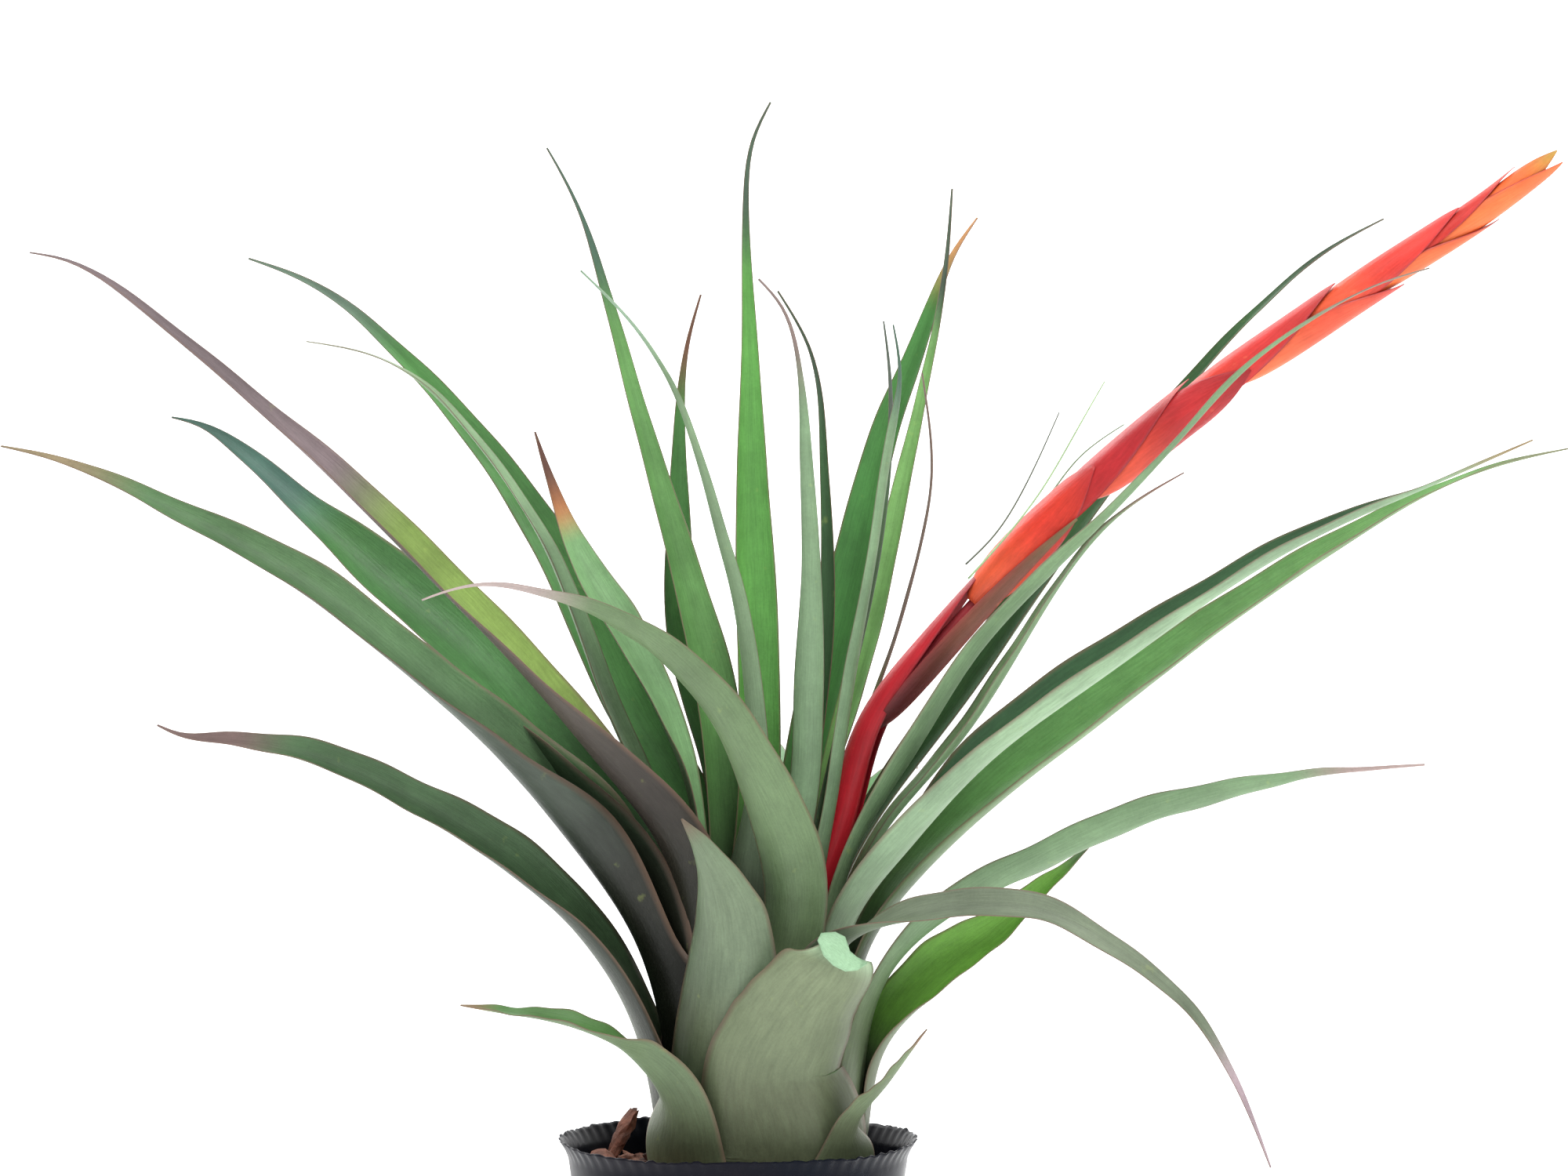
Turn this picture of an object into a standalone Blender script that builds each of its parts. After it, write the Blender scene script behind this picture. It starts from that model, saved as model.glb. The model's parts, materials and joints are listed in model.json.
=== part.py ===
"""Potted bromeliad: a leafy rosette with one flower spike, in a soft black nursery pot.

Frame: origin at the middle of the pot's underside, +Z up, the flower spike leans to +X and the
front of the plant faces -Y. Sizes below are in millimetres and are turned to metres at the end.
"""
import math

import bmesh
import bpy
import numpy as np

MM = 0.001

# ---- sizes of the pot ----
POT_HEIGHT = 125.0
RIM_RADIUS = 75.0
NECK_RADIUS = 70.5
FOOT_RADIUS = 53.0
WALL = 1.0
FLOOR = 1.6
LIP_HEIGHT = 9.0
RIDGE_DROP = 24.0
POT_SIDES = 36
DRAIN_HOLES = 6
DRAIN_RADIUS = 4.0
DRAIN_CIRCLE = 39.3
DRAIN_TURN = 0.47

# ---- sizes of the planting ----
PLANT_X = 10.0
BARK_TOP = 108.0
WELL_RADIUS = 46.8
WELL_FLOOR = 97.0
GAP = 0.4
SHEATH_FOOT_SUM = 144.0
LEAF_THICKNESS = 0.55
TIP_HALF_WIDTH = 0.4

# ---- the eye point that the front-view leaf points are laid out from ----
EYE_X = 19.6
EYE_Z = 353.0
EYE_DISTANCE = 1650.0

# ---- flower spike ----
STEM_RADIUS = 2.7
BRACT_THICKNESS = 0.36
BRACT_SWELL = 10.0

# Each leaf: name, sheath radius, azimuth, sheath height, sheath half wrap, blade half arc, and
# front-view points (x, z, depth y, half width, roll, own half arc if it differs).
LEAVES = [
    ("low_right", 44, -40, 12, 36, 40,
     [(47, 127, -37, 10, 0), (60, 144, -42, 7, -10), (70, 157, -46, 4.5, -20),
      (79, 169.5, -48, .4, -20)]),
    ("low_left", 44, -140, 14, 41, 50,
     [(-28, 140, -41.5, 18, 0), (-40, 155, -42, 16, 10), (-58, 167, -44, 10, 40),
      (-80, 174, -44, 6, 50), (-100, 177, -42, 3.5, 50), (-115, 179.5, -42, .4, 50)]),
    ("front_torn", 42.6, -72, 22, 58, 50,
     [(15, 150, -51, 34, 8), (20.5, 166, -54, 33, 6), (28, 181, -58, 30, 0), (37, 193, -62, 25, 0),
      (40, 203, -64, 12, 0)]),
    ("right_low", 41, 5, 24, 26, 60,
     [(60, 160, 0, 16, -10), (84, 192, 0, 15, -40), (108, 211, 2, 10, -50), (132, 232, 4, 4, -50),
      (147, 246, 4, .4, -50)]),
    ("left_mid", 41, 180, 34, 54, 60,
     [(-43, 171, -2, 26, 0, 45), (-66, 210, -4, 19, 10), (-98, 241, -6, 14, 35),
      (-138, 266, -6, 10, 45), (-180, 284, -6, 7, 50), (-215, 290, -4, 3.5, 50),
      (-232, 292, -4, 1.2, 50), (-241, 296, -4, .4, 50)]),
    ("front_short", 39.6, -115, 45, 36, 55,
     [(-6, 190, -46, 23, 0, 45), (-6, 215, -52, 19, 0), (-13, 240, -56, 8, 0),
      (-23, 257, -58, .4, 0)]),
    ("right_out", 38.2, -15, 42, 32, 50,
     [(62, 190, -10, 10, 0), (86, 216, -16, 11, 20), (122, 238, -24, 8, 50),
      (165, 257, -30, 7, 60), (205, 269, -34, 5, 60), (245, 276, -36, 1.6, 60),
      (286, 279.5, -36, .4, 60)]),
    ("front_arch", 36.8, -52, 46, 32, 45,
     [(36, 196, -40, 12, 0), (62, 213, -56, 12, -30), (92, 220, -72, 8.4, -60),
      (124, 219.5, -80, 6.2, -80), (155, 205, -86, 4.5, -80), (183, 183, -88, 3.2, -70),
      (206, 150, -90, 2, -60), (222, 112, -90, .4, -60)]),
    ("right_wide", 35.4, 6, 48, 50, 65,
     [(52, 195, 6, 18, 0, 45), (78, 236, 10, 19, -10, 55), (108, 266, 14, 18, -25),
      (150, 299, 16, 16, -30), (200, 337, 18, 12, -30), (250, 370, 20, 8, -25),
      (300, 398, 20, 2.6, -20), (328, 407, 20, 1.2, -20), (346, 411, 20, .4, -20)]),
    ("left_long", 35.4, 178, 48, 56, 60,
     [(-42, 206, 0, 16, 0, 45), (-68, 246, -2, 19, 5), (-100, 285, -4, 18, 15),
      (-140, 323, -6, 14, 30), (-180, 355, -8, 11, 45), (-220, 378, -8, 7.5, 50),
      (-255, 395, -8, 4, 50), (-285, 407, -8, 1.6, 50), (-306, 412, -8, .4, 50)]),
    ("front_curl", 34, -95, 50, 50, 50,
     [(22, 206, -37, 14, 0, 45), (22, 238, -47, 15, 0), (12, 265, -58, 14, 10),
      (-2, 292, -66, 12, 20), (-22, 318, -72, 9.5, 20), (-48, 338, -78, 6.5, 20),
      (-80, 350, -82, 2.5, 20), (-110, 354, -84, .9, 20), (-131, 348, -84, .4, 20)]),
    ("right_upper", 32.6, -22, 50, 42, 78,
     [(46, 208, -18, 17, 0, 45), (70, 243, -26, 20, -5, 60), (105, 281, -36, 19, -22),
      (150, 315, -46, 17, -26), (195, 347, -54, 12, -26), (240, 374, -60, 7.5, -26),
      (285, 394, -64, 3.2, -10), (331, 414.5, -66, .5, 0)]),
    ("left_wide", 32.6, 163, 54, 42, 50,
     [(-40, 230, 18, 20, 0, 45), (-72, 274, 28, 20, 10), (-108, 320, 35, 18, 30),
      (-145, 355, 41, 15, 45), (-180, 387, 46, 7.5, 50), (-208, 411, 50, 4, 50),
      (-224, 421, 52, 1.4, 50), (-235, 424, 52, .4, 50)]),
    ("left_dark", 31.2, -160, 54, 31, 60,
     [(-28, 238, -14, 14, 0, 45), (-56, 278, -22, 17, 10, 50), (-88, 317, -30, 15.5, 30),
      (-128, 360, -40, 11.5, 45), (-170, 402, -46, 8, 50), (-210, 438, -50, 5, 50),
      (-250, 471, -54, 2.8, 50), (-280, 489.5, -56, 1, 50), (-294, 492.5, -56, .4, 50)]),
    ("left_thread", 29.8, 153, 58, 19, 50,
     [(-31, 250, 19, 8, 0), (-52, 300, 24, 8, 0), (-79, 369, 38, 5.5, 0), (-110, 416, 50, 3.5, 0),
      (-145, 447, 58, 1.2, 0), (-179, 455.5, 64, .4, 0)]),
    ("left_back", 28.4, 110, 60, 36, 50,
     [(-11, 245, 41, 11, 0, 45), (-42, 300, 49, 13, 10), (-68, 356, 58, 11, 30),
      (-97, 403, 72, 7.5, 40), (-135, 446, 84, 4.2, 40), (-175, 479, 94, 1.6, 40),
      (-203, 490, 98, .4, 40)]),
    ("left_inner", 27, 170, 60, 34, 50,
     [(-18, 255, 3, 9, 0), (-31, 300, 10, 11, 20), (-50, 338, 16, 11, 40), (-66, 367, 22, 7, 50),
      (-76, 392, 24, 3, 50), (-84, 418, 26, .4, 50)]),
    ("right_slim", 27, 8, 62, 27, 60,
     [(58, 246, 5, 7, 0), (92, 288, 8, 9, 0), (128, 344, 8, 6, 0), (160, 384, 8, 2, 0),
      (186, 401, 8, .4, 0)]),
    ("right_spear", 25.6, -14, 62, 27, 65,
     [(48, 240, -17, 8, 0), (74, 284, -19, 12, 0), (100, 325, -23, 11, 0), (126, 354, -27, 9, 0),
      (158, 386, -30, 6, 0), (190, 421, -32, 3.6, 0), (215, 447, -34, 2.4, 0),
      (240, 465, -36, 1.6, 0), (265, 478.5, -38, .8, 0), (288, 486, -38, .4, 0)]),
    ("right_back", 24.2, 44, 64, 21, 60,
     [(49, 244, 28, 8, 0), (92, 306, 24, 11, 0), (140, 375, 30, 9, 0), (187, 436, 36, 4, 0),
      (220, 472, 40, 2.4, 0), (250, 496, 42, 1.1, 0), (269, 506.5, 42, .4, 0)]),
    ("left_green", 24.2, 112, 64, 36, 50,
     [(-5, 270, 37, 12, 0), (-23, 335, 45, 9.5, 0), (-25, 380, 46, 6.2, 0), (-24.3, 420, 48, 3, 0),
      (-20.5, 455, 50, 1, 0), (-15, 475, 50, .4, 0)]),
    ("left_tall", 22.8, 116, 66, 32, 50,
     [(-5, 260, 25, 11, 0), (-10, 308, 27, 11, 0), (-22.5, 360, 31, 8, 0), (-37, 411, 35, 5.2, 0),
      (-48.2, 452, 38, 3.6, 0), (-59, 490, 41, 2, 0), (-66, 511, 43, 1, 0), (-79, 536, 45, .4, 0)]),
    ("left_sliver", 22.8, -118, 66, 40, 50,
     [(8, 275, -22, 6, 0), (6, 310, -26, 5, 0), (1, 345, -28, 4, 0), (-8, 380, -31, 3, 0),
      (-17.5, 412, -35, 2, 0), (-36, 453, -38, 1, 0), (-65, 485, -40, .4, 0)]),
    ("right_inner", 21.4, 58, 66, 32, 50,
     [(29, 270, 32, 12, 0), (39, 320, 40, 12, 0), (51, 370, 43, 10.5, 0), (64, 420, 46, 8, 0),
      (79, 462, 50, 4.5, 0), (91, 493, 54, 1.5, 0), (100, 507, 56, .4, 0)]),
    ("right_bright", 20, 42, 66, 30, 50,
     [(35, 260, 18, 5, 0), (50, 310, 21, 8, 0), (61, 358, 26, 6, -20), (71, 405, 31, 3.8, -30),
      (78.5, 440, 35, 2.4, -30), (86, 479, 40, 1.3, -30), (89.5, 519, 44, .4, -30)]),
    ("centre_pale", 20, -88, 68, 26, 50,
     [(27, 262, -18, 7, 0), (30, 310, -20, 7, 0), (31, 360, -25, 4.5, 0), (28.7, 410, -28, 2.8, 0),
      (25.5, 448, -30, 1, 0), (18, 471, -32, .6, 0), (9, 481.5, -32, .4, 0)]),
    ("centre_tall", 18.6, 98, 68, 40, 50,
     [(9, 280, 21, 10, 0), (8, 340, 23, 10, 0), (6, 400, 26, 7.5, 0), (5, 460, 29, 3.6, 0),
      (3.7, 515, 32, 1.4, 0), (7, 540, 34, .8, 0), (14, 555, 34, .4, 0)]),
    ("right_pale", 18.6, -36, 70, 24, 50,
     [(40, 262, -14, 5, 0), (48, 315, -19, 5, 0), (57, 365, -25, 3.6, 0), (64.5, 415, -30, 3.4, 0),
      (68, 442, -32, 1.2, 0), (65, 462.5, -32, .4, 0)]),
    ("centre_dark", 17.2, 68, 70, 26, 50,
     [(29, 275, 14, 6, 0), (38, 345, 12, 4, 0), (36.3, 410, 13, 2, 0), (30, 453, 14, .8, 0),
      (17, 476.5, 14, .4, 0)]),
    ("right_dark", 17.2, -34, 72, 18, 50,
     [(42, 290, -9, 2.5, 0), (56, 350, -14, 2.6, 0), (64, 410, -18, 2, 0), (63.5, 445, -20, 1, 0),
      (61, 464, -20, .4, 0)]),
    ("right_dry", 15.8, 18, 72, 16, 50,
     [(44, 272, 11, 2, 0), (62, 320, 14, 2.2, 0), (76, 368, 14, 1.4, 0), (81.2, 400, 14, 1.2, 0),
      (79, 430, 14, .8, 0), (77, 442.5, 14, .4, 0)]),
    ("back_low", 42.6, 90, 30, 46, 50,
     [(9, 190, 60, 11, 0), (6, 228, 95, 17, 0), (4, 250, 140, 13, 0), (2, 250, 190, 7, 0),
      (0, 240, 225, .4, 0)]),
    ("back_right", 39.6, 70, 36, 38, 50,
     [(35, 200, 52, 17, 0), (52, 235, 85, 15, 0), (60, 250, 125, 11, 0), (64, 252, 165, 6, 0),
      (66, 246, 195, .4, 0)]),
    ("back_left", 38.2, 140, 38, 34, 50,
     [(-22, 200, 53, 18, 0), (-38, 236, 93, 16, 0), (-42, 252, 140, 12, 0), (-48, 256, 185, 6, 0),
      (-50, 252, 215, .4, 0)]),
    ("back_mid", 34, 84, 46, 36, 50,
     [(14, 235, 50, 12, 0), (13, 262, 85, 14, 0), (13, 280, 125, 10, 0), (12, 286, 165, 5, 0),
      (11, 284, 190, .4, 0)]),
    ("back_slim", 31.2, 48, 50, 26, 50,
     [(46, 238, 38, 10, 0), (58, 264, 72, 12, 0), (67, 277, 108, 8, 0), (72, 280, 142, 4, 0),
      (75, 278, 165, .4, 0)]),
]

# Middle line of the flower spike: x, z, depth y.
SPIKE_LINE = [(12, 138, 0), (17, 170, 0), (28, 215, 0), (44, 256, 0), (57, 295, 0), (79, 325, 0),
              (112, 361, 0), (150, 396, 0), (190, 429, 0), (230, 457, 0), (270, 484, 0),
              (310, 510, 0), (341, 534, 0)]

# Each bract: name, where its base and tip lie along the spike, outer radius, side, half wrap.
# Side 0 is the upper side of the leaning spike, 90 the front, 180 the lower side.
BRACTS = [
    ("scape_bract_low", 150, 262, 11.4, -12, 62),
    ("scape_bract_front", 165, 285, 11.4, 114, 55),
    ("bract_1", 230, 305, 10.6, 50, 120),
    ("bract_2", 268, 358, 10.0, 5, 115),
    ("bract_3", 296, 380, 9.4, 100, 115),
    ("bract_4", 340, 430, 8.8, 20, 115),
    ("bract_5", 372, 454, 8.2, 165, 110),
    ("bract_6", 404, 490, 7.6, 30, 115),
    ("bract_7", 432, 502, 7.0, 185, 110),
    ("bract_8", 444, 520, 6.4, 0, 110),
    ("bract_9", 456, 536, 5.8, 140, 110),
    ("bract_10", 470, 544, 5.0, 80, 120),
]

# Thin leafy tips that leave the lower part of the spike: points (x, z, depth y, half width).
SPIKE_THREADS = [
    ("spike_thread_1", [(95, 363, 3, 1.5), (106, 374, 4, 1.3), (119, 394, 6, 0.9), (134, 426, 8, 0.4)]),
    ("spike_thread_2", [(96, 357, -12, 1.5), (126, 393, -14, 1.2), (142, 420, -16, 0.9),
                        (153, 439, -17, 0.4)]),
    ("spike_thread_3", [(110, 371, 12, 1.4), (127, 388, 14, 1.2), (142, 407, 15, 0.9),
                        (161, 421, 16, 0.4)]),
]

# Loose bark pieces by the left sheaths: x, y, z, length, width, thickness, turn, tilt.
CHIPS = [
    ("bark_chip_1", -49, 24, 122, 26, 11, 5, 30, 60),
    ("bark_chip_2", -56, 6, 114, 24, 12, 5, 100, 12),
    ("bark_chip_3", -47, -30, 114, 22, 10, 5, 140, 14),
]

COLORS = {
    "leaf": (0.24, 0.40, 0.20, 1.0),
    "bract": (0.75, 0.10, 0.08, 1.0),
    "stem": (0.35, 0.10, 0.10, 1.0),
    "bark": (0.20, 0.09, 0.05, 1.0),
    "pot": (0.02, 0.025, 0.035, 1.0),
}


def in_space(x, z, y):
    """Slides a front-view point along its line of sight to depth y."""
    stretch = 1.0 + y / EYE_DISTANCE
    return (EYE_X + (x - EYE_X) * stretch, y, EYE_Z + (z - EYE_Z) * stretch)


def smooth_line(points, stations, wanted):
    """Natural cubic spline through points, read at the wanted stations."""
    points = np.array(points, float)
    stations = np.array(stations, float)
    count = len(stations)
    step = np.diff(stations)
    matrix = np.eye(count)
    right = np.zeros((count, points.shape[1]))
    for i in range(1, count - 1):
        matrix[i, i - 1] = step[i - 1]
        matrix[i, i] = 2 * (step[i - 1] + step[i])
        matrix[i, i + 1] = step[i]
        rise = (points[i + 1] - points[i]) / step[i]
        fall = (points[i] - points[i - 1]) / step[i - 1]
        right[i] = 6 * (rise - fall)
    bend = np.linalg.solve(matrix, right)
    low = np.clip(np.searchsorted(stations, wanted, side="right") - 1, 0, count - 2)
    ahead = (stations[low + 1] - wanted)[:, None]
    behind = (wanted - stations[low])[:, None]
    width = step[low][:, None]
    curve = (bend[low] * ahead ** 3 + bend[low + 1] * behind ** 3) / (6 * width)
    curve += (points[low] / width - bend[low] * width / 6) * ahead
    curve += (points[low + 1] / width - bend[low + 1] * width / 6) * behind
    return curve


def steady(values, stations, wanted):
    """Smooth curve through values that never overshoots between them."""
    values = np.array(values, float)
    stations = np.array(stations, float)
    step = np.diff(stations)
    slope = np.diff(values) / step
    lean = np.zeros(len(values))
    for i in range(1, len(values) - 1):
        if slope[i - 1] * slope[i] > 0:
            first = 2 * step[i] + step[i - 1]
            second = step[i] + 2 * step[i - 1]
            lean[i] = (first + second) / (first / slope[i - 1] + second / slope[i])
    lean[0] = slope[0]
    lean[-1] = slope[-1]
    low = np.clip(np.searchsorted(stations, wanted, side="right") - 1, 0, len(values) - 2)
    part = (wanted - stations[low]) / step[low]
    result = (1 + 2 * part) * (1 - part) ** 2 * values[low]
    result += part * (1 - part) ** 2 * step[low] * lean[low]
    result += part * part * (3 - 2 * part) * values[low + 1]
    result += part * part * (part - 1) * step[low] * lean[low + 1]
    return result


def leaf_rows(leaf):
    """Rows of (middle point, half width, half arc, roll) from the leaf's foot to its tip."""
    name, radius, azimuth, height, wrap, arc, points = leaf
    turn = math.radians(azimuth)
    wrap = math.radians(wrap)
    foot = SHEATH_FOOT_SUM - radius
    top_radius = radius + 2.0 + 0.0013 * radius * height
    middle_radius = 0.5 * (radius + top_radius) - 0.3
    rows = []
    for distance, level, share in ((radius, 0.0, 1.0), (middle_radius, 0.5, 0.97),
                                   (top_radius, 1.0, 0.9)):
        middle = (PLANT_X + distance * math.cos(turn), distance * math.sin(turn),
                  foot + level * height)
        rows.append((middle, distance * wrap * share, wrap * share, 0.0))
    for point in points:
        x, z, y, half_width, roll = point[:5]
        own_arc = point[5] if len(point) > 5 else arc
        rows.append((in_space(x, z, y), half_width, math.radians(own_arc), math.radians(roll)))
    return rows


def sheet(rows, side, along, across):
    """Grid of points for a channelled strip that follows the rows; side is its first width way."""
    middle = np.array([row[0] for row in rows])
    stations = np.r_[0, np.cumsum(np.linalg.norm(np.diff(middle, axis=0), axis=1))]
    fine = np.linspace(0, stations[-1], 241)
    line = smooth_line(middle, stations, fine)
    ahead = np.gradient(line, fine, axis=0)
    ahead /= np.linalg.norm(ahead, axis=1)[:, None]
    width_way = np.zeros_like(ahead)
    first = np.array(side) - ahead[0] * np.dot(side, ahead[0])
    width_way[0] = first / np.linalg.norm(first)
    for i in range(len(fine) - 1):
        carried = width_way[i] - ahead[i + 1] * np.dot(width_way[i], ahead[i + 1])
        width_way[i + 1] = carried / np.linalg.norm(carried)
    roll = steady([row[3] for row in rows], stations, fine)
    up_way = np.cross(ahead, width_way)
    cos_roll = np.cos(roll)[:, None]
    sin_roll = np.sin(roll)[:, None]
    rolled = width_way * cos_roll - up_way * sin_roll
    raised = up_way * cos_roll + width_way * sin_roll
    wanted = np.linspace(0, stations[-1], along + 1)
    centre = np.stack([np.interp(wanted, fine, line[:, i]) for i in range(3)], 1)
    rolled = np.stack([np.interp(wanted, fine, rolled[:, i]) for i in range(3)], 1)
    raised = np.stack([np.interp(wanted, fine, raised[:, i]) for i in range(3)], 1)
    rolled /= np.linalg.norm(rolled, axis=1)[:, None]
    raised /= np.linalg.norm(raised, axis=1)[:, None]
    half = np.maximum(steady([row[1] for row in rows], stations, wanted), TIP_HALF_WIDTH)[:, None]
    arc = steady([row[2] for row in rows], stations, wanted)[:, None]
    spread = np.linspace(-1, 1, across + 1)[None, :]
    out = half / arc * np.sin(arc * spread)
    lift = half / arc * (1 - np.cos(arc * spread))
    return centre[:, None] + rolled[:, None] * out[..., None] + raised[:, None] * lift[..., None]


def new_collection(name):
    collection = bpy.data.collections.new(name)
    bpy.context.scene.collection.children.link(collection)
    return collection


def material(name):
    made = bpy.data.materials.get(name)
    if made is None:
        made = bpy.data.materials.new(name)
        made.use_nodes = True
        shader = made.node_tree.nodes["Principled BSDF"]
        shader.inputs["Base Color"].default_value = COLORS[name]
        shader.inputs["Roughness"].default_value = 0.5
    return made


def make_object(name, mesh, look, home):
    made = bpy.data.objects.new(name, mesh)
    mesh.materials.append(material(look))
    home.objects.link(made)
    return made


def strip_object(name, grid, thickness, look, home):
    """Turns a grid of points into a thin closed strip."""
    along = grid.shape[0] - 1
    across = grid.shape[1] - 1
    shape = bmesh.new()
    bmesh.ops.create_grid(shape, x_segments=along, y_segments=across, size=1.0)
    shape.verts.ensure_lookup_table()
    for vert in shape.verts:
        row = round((vert.co.x + 1.0) / 2.0 * along)
        column = round((vert.co.y + 1.0) / 2.0 * across)
        vert.co = grid[row, column] * MM
    mesh = bpy.data.meshes.new(name)
    shape.to_mesh(mesh)
    shape.free()
    made = make_object(name, mesh, look, home)
    thicken = made.modifiers.new("thicken", "SOLIDIFY")
    thicken.thickness = thickness * MM
    thicken.offset = 0.0
    thicken.use_rim = True
    return made


def turned_object(name, profile, sides, look, home, middle_x=0.0):
    """Solid of revolution: profile points (radius, z) that start and end on the axis."""
    shape = bmesh.new()
    rings = []
    for radius, z in profile:
        if radius == 0.0:
            rings.append([shape.verts.new((middle_x * MM, 0.0, z * MM))])
            continue
        ring = []
        for i in range(sides):
            angle = 2 * math.pi * i / sides
            x = middle_x + radius * math.cos(angle)
            ring.append(shape.verts.new((x * MM, radius * math.sin(angle) * MM, z * MM)))
        rings.append(ring)
    for low, high in zip(rings, rings[1:]):
        for i in range(sides):
            j = (i + 1) % sides
            if len(low) == 1:
                shape.faces.new((low[0], high[j], high[i]))
            elif len(high) == 1:
                shape.faces.new((low[i], low[j], high[0]))
            else:
                shape.faces.new((low[i], low[j], high[j], high[i]))
    bmesh.ops.recalc_face_normals(shape, faces=shape.faces)
    mesh = bpy.data.meshes.new(name)
    shape.to_mesh(mesh)
    shape.free()
    return make_object(name, mesh, look, home)


def cut(target, tool):
    step = target.modifiers.new("cut_" + tool.name, "BOOLEAN")
    step.operation = "DIFFERENCE"
    step.solver = "EXACT"
    step.object = tool


def cylinder_tool(name, x, y, low, high, radius, sides, home):
    shape = bmesh.new()
    bmesh.ops.create_cone(shape, cap_ends=True, segments=sides, radius1=radius * MM,
                          radius2=radius * MM, depth=(high - low) * MM)
    bmesh.ops.translate(shape, verts=shape.verts, vec=(x * MM, y * MM, (low + high) / 2 * MM))
    mesh = bpy.data.meshes.new(name)
    shape.to_mesh(mesh)
    shape.free()
    made = bpy.data.objects.new(name, mesh)
    home.objects.link(made)
    made.hide_render = True
    made.display_type = "WIRE"
    return made


def wall_radius(z):
    """Outer radius of the pot's plain wall at height z."""
    return FOOT_RADIUS + (NECK_RADIUS - FOOT_RADIUS) * z / (POT_HEIGHT - LIP_HEIGHT)


def build_pot(home, tools):
    lip_foot = POT_HEIGHT - LIP_HEIGHT
    ridge = POT_HEIGHT - RIDGE_DROP
    profile = [(0.0, 0.0), (FOOT_RADIUS - 2.0, 0.0), (wall_radius(2.0), 2.0),
               (wall_radius(ridge), ridge), (wall_radius(ridge) + 1.2, ridge + 1.5),
               (wall_radius(ridge + 3.0), ridge + 3.0), (wall_radius(lip_foot), lip_foot),
               (RIM_RADIUS - 1.6, POT_HEIGHT - 3.0), (RIM_RADIUS, POT_HEIGHT - 0.4),
               (RIM_RADIUS - 1.0, POT_HEIGHT), (RIM_RADIUS - 2.6, POT_HEIGHT - 2.2),
               (wall_radius(lip_foot) - WALL, lip_foot - 0.4),
               (wall_radius(FLOOR) - WALL, FLOOR), (0.0, FLOOR)]
    pot = turned_object("pot", profile, POT_SIDES, "pot", home)
    for i in range(DRAIN_HOLES):
        angle = 2 * math.pi * (i + DRAIN_TURN) / DRAIN_HOLES
        hole = cylinder_tool("drain_%d" % i, DRAIN_CIRCLE * math.cos(angle),
                             DRAIN_CIRCLE * math.sin(angle), -2.0, FLOOR + 1.5,
                             DRAIN_RADIUS, 8, tools)
        cut(pot, hole)


def build_bed(home, tools):
    """Bark fills the pot up to below the rim, with a well for the plant's foot."""
    low = FLOOR + GAP
    profile = [(0.0, low), (wall_radius(low) - WALL - GAP - 0.5, low),
               (wall_radius(BARK_TOP) - WALL - GAP - 0.5, BARK_TOP - 2.0),
               (wall_radius(BARK_TOP) - WALL - GAP - 5.0, BARK_TOP + 1.0),
               (58.0, BARK_TOP), (0.0, BARK_TOP)]
    bed = turned_object("bark_bed", profile, POT_SIDES, "bark", home)
    well = cylinder_tool("well", PLANT_X, 0.0, WELL_FLOOR, BARK_TOP + 20.0, WELL_RADIUS, 40, tools)
    cut(bed, well)
    foot = SHEATH_FOOT_SUM - 1.8
    stock_low = WELL_FLOOR + GAP
    profile = [(0.0, stock_low), (foot - stock_low - 0.6, stock_low), (12.0, foot - 12.0),
               (4.0, foot - 10.0), (0.0, foot - 10.0)]
    turned_object("rootstock", profile, 28, "stem", home, PLANT_X)


def chip_object(entry, home):
    name, x, y, z, length, width, thickness, turn, tilt = entry
    shape = bmesh.new()
    bmesh.ops.create_cube(shape, size=1.0)
    for vert in shape.verts:
        taper = 0.75 if vert.co.x > 0 else 1.0
        vert.co.x *= length * MM
        vert.co.y *= width * taper * MM
        vert.co.z *= thickness * taper * MM
    bmesh.ops.bevel(shape, geom=shape.edges, offset=1.2 * MM, segments=1, affect="EDGES")
    mesh = bpy.data.meshes.new(name)
    shape.to_mesh(mesh)
    shape.free()
    made = make_object(name, mesh, "bark", home)
    made.location = (x * MM, y * MM, z * MM)
    made.rotation_euler = (0.0, -math.radians(tilt), math.radians(turn))


def build_leaves(home):
    for leaf in LEAVES:
        rows = leaf_rows(leaf)
        turn = math.radians(leaf[2])
        widest = max(row[1] for row in rows[3:])
        narrow = widest < 9.0
        along = 10 if narrow else 12
        across = 2 if narrow else 4
        grid = sheet(rows, (-math.sin(turn), math.cos(turn), 0.0), along, across)
        strip_object("leaf_" + leaf[0], grid, LEAF_THICKNESS, "leaf", home)


def spike_frame():
    """Points, directions and the upper and front ways along the flower spike, by millimetre."""
    middle = np.array([in_space(x, z, y) for x, z, y in SPIKE_LINE])
    stations = np.r_[0, np.cumsum(np.linalg.norm(np.diff(middle, axis=0), axis=1))]
    places = np.arange(0.0, stations[-1])
    line = smooth_line(middle, stations, places)
    ahead = np.gradient(line, axis=0)
    ahead /= np.linalg.norm(ahead, axis=1)[:, None]
    front = np.tile((0.0, -1.0, 0.0), (len(places), 1))
    front -= ahead * np.sum(front * ahead, axis=1)[:, None]
    front /= np.linalg.norm(front, axis=1)[:, None]
    upper = np.cross(front, ahead)
    return places, line, upper, front


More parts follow.
